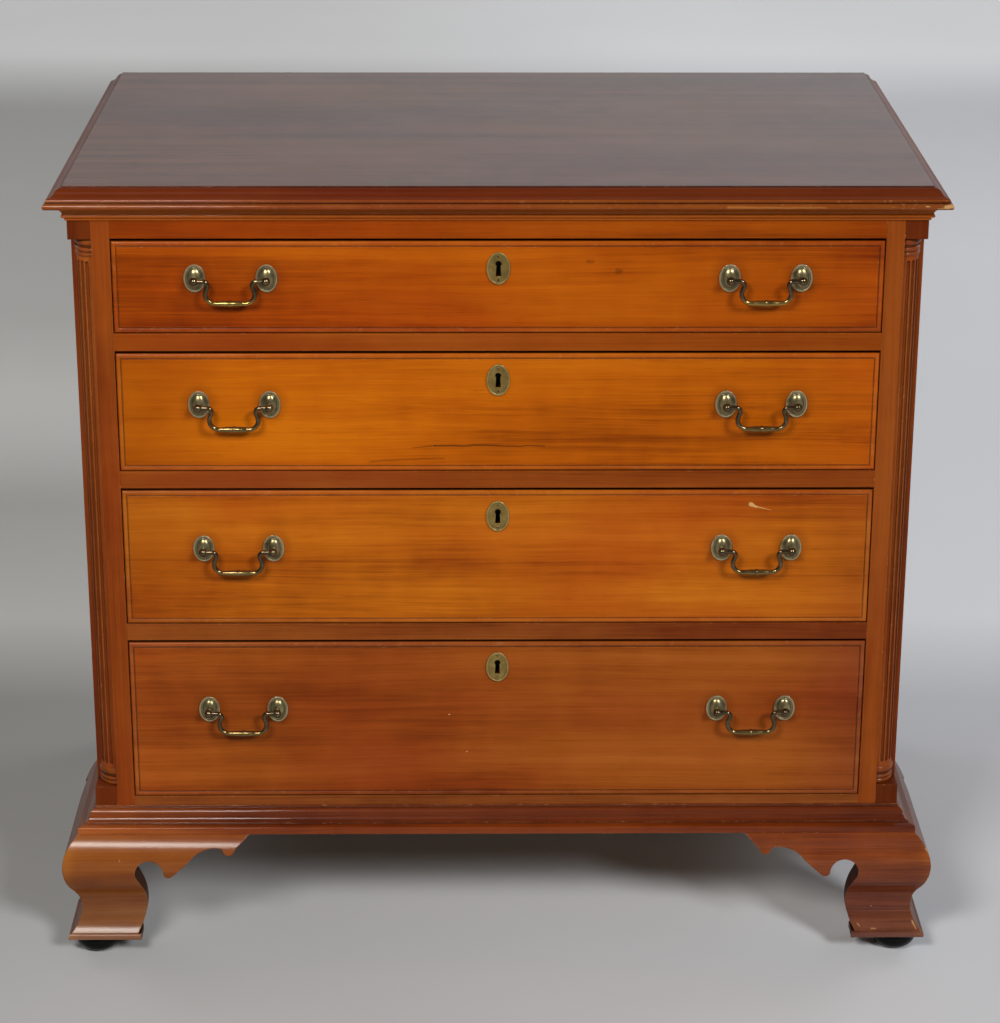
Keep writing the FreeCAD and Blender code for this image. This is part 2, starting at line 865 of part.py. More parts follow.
def blocks_and_glides():
    """Upright block glued into each foot, and the domed glide nailed under it."""
    size = cell("glue_block")
    inner = cell("foot_inner")
    spot = (-half_width - cell("glide_outset"), front - cell("glide_outset"))
    rear_face = back - cell("back_bracket_thickness")
    low_x = -half_width - inner
    height = (foot_base, case_base)
    radius = cell("glide_radius")
    nail = cell("glide_nail_radius")
    contact = cell("glide_contact")
    tall = cell("glide_height")
    rim = tall * 0.2
    nail_top = tall + cell("glide_nail_length")
    profile = [
        (0, 0, 0),
        (contact, 0, 0.4),
        (radius, tall - rim * 2, 0),
        (radius, tall - rim, 0.3),
        (radius - rim, tall, 0),
        (nail, tall, 0),
        (nail, nail_top, 0),
        (0, nail_top, 0),
    ]
    blocks = []
    glides = []
    rear_spot = (spot[0], rear_face - size / 2)
    places = {
        "front": (spot, (front - inner, front - inner + size)),
        "rear": (rear_spot, (rear_face - size, rear_face)),
    }
    for end, (centre, depth) in places.items():
        axis = (*centre, 0)
        turning = sketch(f"glide_{end}_profile", profile, FRONT, axis)
        glide = revolve(f"glide_{end}_left", turning, axis, Vector(0, 0, 1))
        bore = nail + cell("pin_clearance")
        hole = cylinder(f"nail_hole_{end}", bore, cell("glide_nail_length"), (*centre, foot_base))
        blank = box(f"block_{end}", (low_x, low_x + size), depth, height)
        block = cut(f"glue_block_{end}_left", blank, hole)
        blocks += [block, mirror(f"glue_block_{end}_right", block)]
        glides += [glide, mirror(f"glide_{end}_right", glide)]
    part("foot_glue_blocks", *blocks)
    part("floor_glides", *glides)


def keyhole(name, depth, at):
    """Round head over a tapered slot, to be cut backwards from a plane."""
    waist = cell("keyhole_waist")
    foot = cell("keyhole_foot")
    rise = cell("keyhole_rise") - cell("keyhole_radius") * 0.75
    fall = cell("keyhole_fall")
    path = [(-foot, -fall, 0), (foot, -fall, 0), (waist, rise, 2.6), (-waist, rise, 0)]
    x, y, z = at
    return extrude(name, sketch(f"{name}_outline", path, FRONT, (x, y + depth, z)), depth)


def escutcheon():
    """Oval key plate with a raised rim."""
    width = cell("plate_width")
    height = cell("plate_height")
    rim = cell("plate_rim") * 2
    disc = oval("plate_disc", width, height, cell("plate_edge"))
    hollow = oval("plate_hollow", width - rim, height - rim, cell("plate_edge"), cell("plate_thickness"))
    return cut("plate_blank", disc, hollow)


def rosette():
    """Oval backplate of a pull post: a rim, a flat and a dome."""
    width = cell("rosette_width")
    height = cell("rosette_height")
    rim = cell("rosette_rim") * 2
    plate = cell("rosette_plate")
    disc = oval("rosette_disc", width, height, cell("rosette_edge"))
    hollow = oval("rosette_hollow", width - rim, height - rim, cell("rosette_edge"), plate)
    dome = doc.addObject("Part::Ellipsoid", "rosette_ball")
    bind(dome, "Radius1", height / 2 - rim)
    bind(dome, "Radius2", width / 2 - rim)
    bind(dome, "Radius3", cell("rosette_dome"))
    face = box("rosette_front_half", (-width, width), (-width, -plate / 2), (-height, height))
    half_dome = common("rosette_dome", dome, face)
    blank = fuse("rosette_blank", cut("rosette_dish", disc, hollow), half_dome)
    hole = cell("neck_radius") + cell("bolt_clearance")
    bore = cylinder("rosette_bore", hole, height, (0, height / 2, 0), FRONT)
    return cut("rosette", blank, bore)


def post():
    """Ball-headed post with its bolt, bored on the right for a bail's pin."""
    ball = cell("ball_radius")
    neck = cell("neck_radius")
    bolt = cell("bolt_radius")
    reach = cell("post_reach")
    tail = cell("drawer_front_thickness") + cell("nut_height") + cell("bolt_clearance") * 5
    lap = math.radians(30)
    path = [
        (0, -tail, 0),
        (bolt, -tail, 0),
        (bolt, 0, 0),
        (neck, 0, 0),
        (neck, reach - ball, 0),
        (ball * math.sin(lap), reach - ball * math.cos(lap), math.tan((math.pi - lap) / 4)),
        (0, reach + ball, 0),
    ]
    profile = sketch("post_profile", path, Rotation(Vector(1, 0, 0), 180))
    turned = revolve("post_turning", profile, (0, 0, 0), Vector(0, 1, 0))
    bore = cell("wire_radius") + cell("pin_clearance")
    depth = cell("pin_depth") + cell("bolt_clearance")
    towards_right = Rotation(Vector(0, 1, 0), 90)
    hole = cylinder("post_bore", bore, depth + ball * 2, (-depth, -reach, 0), towards_right)
    return cut("post", turned, hole)


def nut():
    """Six-sided nut against the back of a drawer front."""
    body = doc.addObject("Part::Prism", "nut_body")
    body.Polygon = 6
    bind(body, "Circumradius", cell("nut_radius"))
    bind(body, "Height", cell("nut_height"))
    thickness = cell("drawer_front_thickness") + cell("nut_height")
    place(body, 0, thickness, 0, FRONT)
    bore = cell("bolt_radius") + cell("bolt_clearance")
    return cut("nut", body, cylinder("nut_bore", bore, thickness, (0, thickness, 0), FRONT))


def bail():
    """Swan-neck bail hung by pins that turn in from its two posts."""
    half = cell("pull_boring") / 2
    reach = cell("neck_reach")
    bend = cell("neck_bend")
    drop = cell("bail_drop")
    lean = math.radians(20)
    sway = bend * 1.3
    hip_x = reach + sway * (1 - math.cos(lean)) + bend * math.sin(lean)
    hip_z = -bend - sway * math.sin(lean) - bend * math.cos(lean)
    sweep = (drop + hip_z) / (1 + math.sin(lean))
    bar = hip_x - sweep * math.cos(lean)
    quarter = math.tan(math.radians(90) / 4)
    lean_bulge = math.tan(lean / 4)
    sweep_bulge = math.tan((lean + math.radians(90)) / 4)
    right = [
        (bar, -drop, sweep_bulge),
        (hip_x, hip_z, 0),
        (hip_x - bend * math.sin(lean), hip_z + bend * math.cos(lean), -lean_bulge),
        (reach, -bend, -quarter),
        (reach + bend, 0, 0),
        (half + cell("pin_depth"), 0, 0),
    ]
    left = downwards([(-x, z, -bulge) for x, z, bulge in right])
    path = left + right
    spine = sketch("bail_path", path, FRONT, closed=False)
    section = doc.addObject("Part::Circle", "bail_section")
    bind(section, "Radius", cell("wire_radius"))
    place(section, -half - cell("pin_depth"), 0, 0, Rotation(Vector(0, 1, 0), 90))
    wire = doc.addObject("Part::Sweep", "bail_wire")
    wire.Sections = [section]
    wire.Spine = (spine, [f"Edge{number}" for number in range(1, len(path))])
    wire.Solid = True
    wire.Frenet = True

    swell = cell("bail_swell")
    long = cell("bail_swell_length") / 2
    thin = cell("wire_radius") * 0.9
    ring = swell / 2
    barrel = [
        (-long, 0, 0),
        (long, 0, 0),
        (long, thin, 0.05),
        (ring, swell, 0.5),
        (-ring, swell, 0.05),
        (-long, thin, 0),
    ]
    turning = sketch("bail_grip_profile", barrel, FRONT, (0, 0, -drop))
    grip = revolve("bail_grip", turning, (0, 0, -drop), Vector(1, 0, 0))
    return fuse("bail", wire, grip)


def lock_parts():
    """Lock case, less its bolt's way, and the bolt, with the drawer's top edge at Z = 0."""
    half = cell("lock_width") / 2
    depth = (-cell("lock_depth"), 0)
    blank = box("lock_blank", (-half, half), depth, (-cell("lock_height"), 0))
    play = cell("bolt_play")
    bolt_half = cell("bolt_width") / 2
    near = play + cell("lock_wall") - cell("lock_depth")
    far = near + cell("bolt_thickness")
    tall = cell("bolt_height") + play
    way_half = bolt_half + play
    way = box("bolt_way", (-way_half, way_half), (near - play, far + play), (-tall, play))
    bolt = box("bolt_body", (-bolt_half, bolt_half), (near, far), (-tall, -play))
    drop = -cell("plate_drop")
    hole = keyhole("lock_keyhole", cell("lock_depth") * 0.7, (0, -cell("lock_depth"), drop))
    return cut("lock_case", blank, way, hole), bolt


def beaded_front(drawer):
    """Drawer front with a bead and quirk worked round its face."""
    low = drawer_foot[drawer]
    high = drawer_top[drawer]
    name = f"drawer_{drawer}_board"
    board = box(name, (-drawer_half, drawer_half), (front, drawer_face_back), (low, high))
    bead = cell("bead_width")
    inset = bead + cell("quirk_width")
    depth = (front, front + cell("quirk_depth"))
    outside = box(
        f"{name}_outside", (bead - drawer_half, drawer_half - bead), depth, (low + bead, high - bead)
    )
    inside = box(
        f"{name}_inside", (inset - drawer_half, drawer_half - inset), depth, (low + inset, high - inset)
    )
    grooved = cut(f"{name}_grooved", board, cut(f"{name}_quirk", outside, inside))
    doc.recompute()
    rounded = doc.addObject("Part::Fillet", f"{name}_rounded")
    rounded.Base = grooved
    outer_radius = (bead * 0.4).value
    inner_radius = (cell("quirk_depth") * 0.8).value
    field = (drawer_half - inset).value
    rim = (drawer_half - bead).value
    edges = []
    for number, edge in enumerate(grooved.Shape.Edges, start=1):
        ends = edge.BoundBox
        on_face = abs(ends.YMax - front.value) < 1e-6
        reach = max(abs(ends.XMin), abs(ends.XMax))
        if on_face and reach > rim + 1e-6:
            edges.append((number, outer_radius, outer_radius))
        elif on_face and reach > field + 1e-6:
            edges.append((number, inner_radius, inner_radius))
    rounded.Edges = edges
    return rounded


def drawer_side(drawer):
    """Left drawer side, with tails at its front end for the half-blind dovetails."""
    low = opening_floor[drawer]
    high = drawer_top[drawer] - cell("drawer_side_drop")
    root = drawer_face_back
    tip = front + cell("dovetail_lap")
    first = drawer_foot[drawer]
    tails = max(2, round((high - first).value / cell("tail_pitch").value))
    pitch = (high - first) / tails
    path = [(root, low)]
    for tail in range(tails):
        middle = first + pitch * (tail + 0.5)
        path += [(root, middle - pitch * 0.26), (tip, middle - pitch * 0.34)]
        path += [(tip, middle + pitch * 0.34), (root, middle + pitch * 0.26)]
    path += [(root, high), (drawer_rear, high), (drawer_rear, low)]
    drawing = sketch(f"drawer_{drawer}_side_outline", path, SIDE, (-drawer_half, 0, 0))
    return extrude(f"drawer_{drawer}_side_blank", drawing, cell("drawer_side_thickness"))


def drawer_box(drawer, masters):
    """One drawer: dovetailed box, pulls, key plate and lock."""
    name = f"drawer_{drawer}"
    groove = cell("drawer_groove")
    floor_low = opening_floor[drawer] + cell("drawer_floor_raise")
    floor_high = floor_low + cell("drawer_floor_thickness")
    reach = drawer_inner + groove
    floor_depth = (drawer_face_back - groove, drawer_rear)
    floor = box(f"{name}_bottom", (-reach, reach), floor_depth, (floor_low, floor_high))
    back_far = drawer_rear - cell("drawer_side_thickness")
    back_sides = (back_far - cell("drawer_side_thickness"), back_far)
    back_high = drawer_top[drawer] - cell("drawer_side_drop") - groove
    rear = box(f"{name}_back", (-reach, reach), back_sides, (floor_high, back_high))
    blank = drawer_side(drawer)
    left = cut(f"{name}_side_left", blank, floor, rear)

    top = drawer_top[drawer]
    plate_z = top - cell("plate_drop")
    half_lock = cell("lock_width") / 2
    lock_front = drawer_face_back - cell("lock_depth")
    mortise = box(
        f"{name}_lock_mortise",
        (-half_lock, half_lock),
        (lock_front, drawer_face_back),
        (top - cell("lock_height"), top),
    )
    hole_depth = cell("drawer_front_thickness")
    tools = [blank, mirror(f"{name}_side_right_blank", blank), floor, mortise]
    tools.append(keyhole(f"{name}_keyhole", hole_depth, (0, front, plate_z)))
    pull_z = top - (top - drawer_foot[drawer]) * PULL_LEVEL[drawer]
    half_boring = cell("pull_boring") / 2
    bore = cell("bolt_radius") + cell("bolt_clearance")
    mounts = []
    for side, sign in (("left", -1), ("right", 1)):
        centre = (opening_half - cell("pull_margin")) * sign
        for hand, offset in (("left", -half_boring), ("right", half_boring)):
            spot = (centre + offset, front, pull_z)
            tag = f"{name}_{side}_{hand}"
            hole_start = (spot[0], drawer_face_back, pull_z)
            tools.append(cylinder(f"{tag}_hole", bore, hole_depth, hole_start, FRONT))
            for piece in ("rosette", f"post_{hand}", "nut"):
                mounts.append(moved(f"{tag}_{piece}", masters[piece], *spot))
        hung = moved(f"{name}_bail_{side}", masters["bail"], centre, front - cell("post_reach"), pull_z)
        part(f"{name}_bail_{side}", hung)
    part(f"{name}_front", cut(f"{name}_front", beaded_front(drawer), *tools))
    part(f"{name}_sides", left, mirror(f"{name}_side_right", left))
    part(f"{name}_back", rear)
    part(f"{name}_bottom", floor)
    part(f"{name}_pull_mounts", *mounts)
    lock = moved(f"{name}_lock_case", masters["lock"], 0, drawer_face_back, top)
    plate = moved(f"{name}_escutcheon", masters["escutcheon"], 0, front, plate_z)
    part(f"{name}_lock", lock, plate)
    part(f"{name}_lock_bolt", moved(f"{name}_lock_bolt", masters["bolt"], 0, drawer_face_back, top))


def drawers():
    """The fittings that every drawer shares, then the four drawers."""
    right_post = post()
    lock, bolt = lock_parts()
    plate_hole = keyhole("plate_keyhole", cell("plate_edge"), (0, -cell("plate_edge"), 0))
    masters = {
        "rosette": rosette(),
        "post_left": right_post,
        "post_right": mirror("post_right", right_post),
        "nut": nut(),
        "bail": bail(),
        "lock": lock,
        "bolt": bolt,
        "escutcheon": cut("escutcheon", escutcheon(), plate_hole),
    }
    for drawer in DRAWERS:
        drawer_box(drawer, masters)


top_board()
cornice()
side_panels()
rails_and_stiles()
columns()
back_and_floor()
runners_and_stops()
base_moulding()
feet()
blocks_and_glides()
drawers()
doc.recompute()

for item in doc.Objects:
    if "Invalid" in item.State or "Error" in item.State:
        raise RuntimeError(f"{item.Label} failed: {item.State}")
for item in parts:
    if item.Shape.isNull() or not item.Shape.isValid():
        raise RuntimeError(f"{item.Label} has no valid shape")
os.makedirs("parts", exist_ok=True)
for item in parts:
    item.Shape.exportStep(f"parts/{item.Label}.step")
print(len(parts), "sub-parts,", sum(len(item.Shape.Solids) for item in parts), "solids")
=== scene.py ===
"""Chest of four graduated drawers: finishes, small fittings, light and camera.

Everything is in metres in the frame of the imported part: +Z up, drawers facing -Y.
"""
import math
import random

import bmesh
import bpy
from mathutils import Matrix, Vector


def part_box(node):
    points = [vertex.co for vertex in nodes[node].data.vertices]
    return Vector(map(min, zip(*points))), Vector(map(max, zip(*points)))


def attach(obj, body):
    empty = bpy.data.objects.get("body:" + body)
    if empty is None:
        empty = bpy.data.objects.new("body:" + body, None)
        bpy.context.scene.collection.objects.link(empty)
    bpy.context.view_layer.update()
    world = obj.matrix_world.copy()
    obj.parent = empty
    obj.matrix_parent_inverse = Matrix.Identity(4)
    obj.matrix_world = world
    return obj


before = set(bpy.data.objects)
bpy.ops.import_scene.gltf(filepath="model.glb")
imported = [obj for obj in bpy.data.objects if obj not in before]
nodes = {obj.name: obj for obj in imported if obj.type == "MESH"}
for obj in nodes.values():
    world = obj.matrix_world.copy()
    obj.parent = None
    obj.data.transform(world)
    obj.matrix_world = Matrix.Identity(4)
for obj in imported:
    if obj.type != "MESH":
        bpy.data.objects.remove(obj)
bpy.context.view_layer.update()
DRAWERS = ("drawer_1", "drawer_2", "drawer_3", "drawer_4")
SIDES = ("left", "right")
half_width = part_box("side_panel_right")[1].x
front_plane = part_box("bottom_rail")[0].y
back_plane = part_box("back_boards")[1].y
# slack for faces on a known plane, reach of painted shade, dirt and patina in hollows, depths of relief
SLACK = 0.0005
AIR_REACH = 0.010
WOOD_DEPTH, FINE_DEPTH = 0.0006, 0.0002


class Shade:
    """A material or world whose nodes are added one by one; most methods return a socket."""

    def __init__(self, name, owner=None):
        """Starts a new material, or takes over the nodes of the world given as owner."""
        self.owner = owner or bpy.data.materials.new(name)
        self.owner.use_nodes = True
        self.tree = self.owner.node_tree
        self.tree.nodes.clear()

    def node(self, kind, inputs=None, output=0, **settings):
        made = self.tree.nodes.new("ShaderNode" + kind)
        for key, value in settings.items():
            setattr(made, key, value)
        for key, value in (inputs or {}).items():
            if isinstance(value, bpy.types.NodeSocket):
                self.tree.links.new(value, made.inputs[key])
            else:
                made.inputs[key].default_value = value
        return made.outputs[output]

    def math(self, operation, a, b=0.0, c=0.0):
        return self.node("Math", {0: a, 1: b, 2: c}, operation=operation)

    def blend(self, total, value, weight):
        """Adds a share of a noise, counted from its middle, to a total."""
        return self.math("MULTIPLY_ADD", self.math("SUBTRACT", value, 0.5), weight, total)

    def vector(self, operation, a, b=(0, 0, 0), output=0):
        return self.node("VectorMath", {0: a, 1: b}, output, operation=operation)

    def split(self, vector):
        made = self.tree.nodes.new("ShaderNodeSeparateXYZ")
        self.tree.links.new(vector, made.inputs[0])
        return made.outputs

    def noise(self, place, scale, detail, rough, output=0):
        """Noise stretched by one scale per axis; output 1 is three noises as a vector."""
        spread = self.vector("MULTIPLY", place, scale)
        inputs = {"Vector": spread, "Scale": 1.0, "Detail": detail, "Roughness": rough}
        return self.node("TexNoise", inputs, output)

    def ramp(self, value, low, high, start=0.0, end=1.0):
        """Smooth step from start to end as value goes from low to high."""
        inputs = {0: value, 1: low, 2: high, 3: start, 4: end}
        return self.node("MapRange", inputs, interpolation_type="SMOOTHSTEP")

    def mix(self, factor, a, b, blend="MIX"):
        inputs = {0: factor, 6: a, 7: b}
        return self.node("Mix", inputs, 2, data_type="RGBA", blend_type=blend)

    def tones(self, value, stops):
        """Colour between stops of (position, colour)."""
        made = self.tree.nodes.new("ShaderNodeValToRGB")
        self.tree.links.new(value, made.inputs[0])
        band = made.color_ramp
        while len(band.elements) < len(stops):
            band.elements.new(0.5)
        for element, (position, colour) in zip(band.elements, stops):
            element.position = position
            element.color = (*colour[:3], 1)
        return made.outputs[0]

    def edges(self, radius):
        """Rounded normal, how sharp the surface turns there, and how open it lies."""
        rounded = self.node("Bevel", {"Radius": radius}, samples=4)
        normal = self.node("NewGeometry", output="Normal")
        turn = self.math("SUBTRACT", 1.0, self.vector("DOT_PRODUCT", rounded, normal, "Value"))
        nearby = {"Distance": AIR_REACH}
        open_to_air = self.node("AmbientOcclusion", nearby, "AO", samples=5, only_local=True)
        return rounded, turn, open_to_air

    def bump(self, height, strength, distance, normal):
        inputs = {"Strength": strength, "Distance": distance, "Height": height, "Normal": normal}
        return self.node("Bump", inputs)

    def surface(self, **inputs):
        made = self.tree.nodes.new("ShaderNodeBsdfPrincipled")
        for key, value in inputs.items():
            socket = made.inputs[key.replace("_", " ")]
            if isinstance(value, bpy.types.NodeSocket):
                self.tree.links.new(value, socket)
            elif socket.type == "RGBA":
                socket.default_value = (*value, 1)
            else:
                socket.default_value = value
        end = self.tree.nodes.new("ShaderNodeOutputMaterial")
        self.tree.links.new(made.outputs[0], end.inputs[0])
        return self.owner


def colour(tone, factor=1.0):
    """A tone made darker or lighter, with full alpha."""
    return (tone[0] * factor, tone[1] * factor, tone[2] * factor, 1)


def along(shade, grain, seed):
    """Object coordinates, their axes by name, and a shifted copy whose first axis follows the grain."""
    place = shade.node("TexCoord", output="Object")
    x, y, z = shade.split(place)
    order = {"x": (x, y, z), "y": (y, z, x), "z": (z, x, y)}[grain]
    draw = random.Random(seed)
    shift = (draw.uniform(-9, 9), draw.uniform(-9, 9), draw.uniform(-9, 9))
    board = shade.node("CombineXYZ", {0: order[0], 1: order[1], 2: order[2]})
    return place, {"x": x, "y": y, "z": z}, shade.vector("ADD", board, shift)


def swayed(shade, board, reach):
    """Grain lines that wander to the sides by up to about half of reach."""
    sway = shade.vector("SUBTRACT", shade.noise(board, (1.6, 7, 7), 2, 0.5, 1), (0.5, 0.5, 0.5))
    return shade.vector("ADD", board, shade.vector("MULTIPLY", sway, (0, reach, reach)))


def scar(shade, axes, wobble, start, end, wide, narrow, soft):
    """Mask of a mark on a front, from a wide start to a narrow end, both given as (x, z)."""
    run = (end[0] - start[0], end[1] - start[1])
    length = run[0] ** 2 + run[1] ** 2
    x = shade.math("SUBTRACT", axes["x"], start[0])
    z = shade.math("SUBTRACT", shade.math("ADD", axes["z"], wobble), start[1])
    part = shade.math("MULTIPLY_ADD", x, run[0] / length, shade.math("MULTIPLY", z, run[1] / length))
    part = shade.node("Clamp", {0: part})
    x = shade.math("MULTIPLY_ADD", part, -run[0], x)
    z = shade.math("MULTIPLY_ADD", part, -run[1], z)
    away = shade.math("SQRT", shade.math("MULTIPLY_ADD", x, x, shade.math("MULTIPLY", z, z)))
    width = shade.ramp(part, 0.0, 1.0, wide, narrow)
    return shade.ramp(shade.math("DIVIDE", away, width), 1 + soft, 1 - soft)


def stain(red, green, blue):
    """Tones of one stained wood, from the colour of its middle tone."""
    return {
        "dark": (red * 0.50, green * 0.40, blue * 0.40),
        "mid": (red, green, blue),
        "light": (red * 1.28, green * 1.50, blue * 2.0),
        "worn": (red * 1.80, green * 2.70, blue * 4.0 + 0.012),
    }


# finishes; dimple is the unevenness of the lacquer, which the relief of the grain follows
SATIN = dict(rough=0.40, gloss=0.07, coat=0.0, coat_rough=0.2, dimple=0.08)
SIDE_SATIN = dict(rough=0.50, gloss=0.10, coat=0.0, coat_rough=0.3, dimple=0.08)
SIDE_GLOSS = dict(rough=0.45, gloss=0.10, coat=0.50, coat_rough=0.25, dimple=0.08)
LIPPED = dict(rough=0.30, gloss=0.16, coat=0.06, coat_rough=0.10, dimple=0.08)
RUBBED = dict(rough=0.36, gloss=0.08, coat=0.20, coat_rough=0.06, dimple=0.08)
BEADED = dict(rough=0.34, gloss=0.08, coat=0.36, coat_rough=0.06, dimple=0.08)
GLOSSY = dict(rough=0.36, gloss=0.08, coat=0.46, coat_rough=0.19, dimple=0.08)
POLISHED = dict(rough=0.42, gloss=0.12, coat=0.80, coat_rough=0.20, dimple=0.012)
GRAIN_RELIEF = 2.75
DEEP_HOLLOW = (0.92, 0.45)
FRONT_HOLLOW = (0.95, 0.55)
RAW_WOOD = (0.56, 0.33, 0.13)
# tone of a pale band on the top's front bead: wear, and a painted highlight
WORN_SHEEN_TONE = (0.46, 0.19, 0.04)
FLUSH = (0.82, 0.60, 0.8)
BARE_ROUGH = 0.62


def wood(name, grain, seed, tones, finish, figure=1.0, cloud=1.0, wear=0.6, grime_and_shade=0.5, crest_wear_and_sheen=0.0,
         hollow=(0.85, 0.30), handled=None, shades=(), marks=()):
    """Lacquered wood: grain along one axis, worn arrises, dirt and painted shade in corners, shaded ends,
    marks.

    Figure and cloud are the strength of the grain and of its clouds, wear that of worn arrises, and
    grime that of dirt with painted shade in hollows. Crest is the wear all over a bead, which also
    paints in its highlight; hollow is the openness at which that shade starts to that where it is full,
    and handled an (axis, start, end) along which the wear doubles.
    A shade is (axis, start, end, tint): the colour goes over to its product with the tint.
    A mark is (start, end, wide, narrow, soft, wobble, tone, depth), as in scar().
    """
    shade = Shade(name)
    place, axes, board = along(shade, grain, seed)
    fibre = swayed(shade, board, 0.020)
    lines = shade.noise(fibre, (1.3, 60, 60), 6, 0.62)
    rings = shade.noise(fibre, (0.35, 17, 17), 3, 0.55)
    fine = shade.noise(fibre, (8, 520, 520), 3, 0.6)
    cross = shade.noise(board, (30, 24, 24), 2, 0.5)
    patch = shade.noise(board, (2.4, 6.5, 6.5), 4, 0.55)
    tone = shade.blend(0.5, lines, 0.70 * figure)
    tone = shade.blend(tone, rings, 0.75 * figure)
    tone = shade.blend(tone, fine, 0.55 * figure)
    tone = shade.blend(tone, cross, 0.24 * figure)
    tone = shade.blend(tone, patch, 0.90 * cloud)
    body = shade.tones(tone, [(0.12, tones["dark"]), (0.5, tones["mid"]), (0.88, tones["light"])])
    flush = shade.noise(board, (1.9, 5.2, 5.2), 4, 0.55)
    body = shade.mix(shade.ramp(flush, 0.44, 0.70, 0.0, min(0.85 * cloud, 1)), body, (*FLUSH, 1), "MULTIPLY")
    pores = shade.ramp(shade.noise(fibre, (40, 1500, 1500), 2, 0.5), 0.62, 0.74)
    body = shade.mix(shade.math("MULTIPLY", pores, 0.30), body, colour(tones["dark"], 0.6))
    drift = shade.math("SUBTRACT", patch, 0.5)
    for axis, start, end, tint in shades:
        level = shade.math("MULTIPLY_ADD", drift, (end - start) * 0.5, axes[axis])
        body = shade.mix(shade.ramp(level, start, end), body, (*tint, 1), "MULTIPLY")
    if marks:
        wander = shade.math("SUBTRACT", shade.noise(board, (22, 9, 9), 3, 0.6), 0.5)
    for start, end, wide, narrow, soft, wobble, ink, depth in marks:
        mask = scar(shade, axes, shade.math("MULTIPLY", wander, wobble), start, end, wide, narrow, soft)
        body = shade.mix(shade.math("MULTIPLY", mask, depth), body, (*ink, 1))

    rounded, turn, air = shade.edges(radius=0.0014)
    arris = shade.math("MULTIPLY", shade.ramp(turn, 0.02, 0.25), shade.ramp(air, 0.55, 0.85))
    # wear all over a bead, which also paints in the bead's highlight
    arris = shade.math("MAXIMUM", arris, crest_wear_and_sheen)
    if handled:
        axis, start, end = handled
        arris = shade.math("MULTIPLY", arris, shade.ramp(axes[axis], start, end, 1.0, 2.0))
    rubbed = shade.math("MULTIPLY", arris, shade.ramp(shade.noise(place, (42, 42, 42), 4, 0.6), 0.40, 0.64))
    nicks = shade.math("MULTIPLY", arris, shade.ramp(shade.noise(place, (170, 170, 170), 3, 0.6), 0.60, 0.67))
    rubbed = shade.math("MINIMUM", shade.math("MULTIPLY", rubbed, 0.75 * wear), 0.9)
    nicks = shade.math("MINIMUM", shade.math("MULTIPLY", nicks, wear), 1.0)
    body = shade.mix(rubbed, body, colour(tones["worn"]))
    body = shade.mix(nicks, body, (*RAW_WOOD, 1))
    # painted shade: darker in hollows and corners, which also stands for dirt there
    dark_in_hollows = shade.math("MULTIPLY", shade.ramp(air, *hollow), grime_and_shade)
    body = shade.mix(dark_in_hollows, body, colour(tones["dark"], 0.22))

    smear = shade.noise(place, (9, 9, 9), 4, 0.6)
    polish = shade.blend(finish["rough"], smear, 0.20)
    polish = shade.math("MULTIPLY_ADD", rubbed, 0.10, polish)
    polish = shade.math("MULTIPLY_ADD", dark_in_hollows, 0.25, polish)
    ripple = shade.noise(place, (26, 26, 26), 3, 0.55)
    height = shade.math("MULTIPLY_ADD", pores, -0.35, shade.math("MULTIPLY", lines, 0.5))
    height = shade.math("MULTIPLY_ADD", ripple, 1.6, height)
    height = shade.math("MULTIPLY_ADD", nicks, -1.5, height)
    normal = shade.bump(height, finish["dimple"] * GRAIN_RELIEF, WOOD_DEPTH, rounded)
    uneven = shade.noise(place, (70, 130, 130), 3, 0.55)
    lacquer = shade.bump(uneven, finish["dimple"], WOOD_DEPTH, rounded)
    return shade.surface(Base_Color=body, Roughness=polish, Normal=normal, Specular_IOR_Level=finish["gloss"],
                         Coat_Weight=finish["coat"], Coat_Roughness=finish["coat_rough"], Coat_Normal=lacquer)


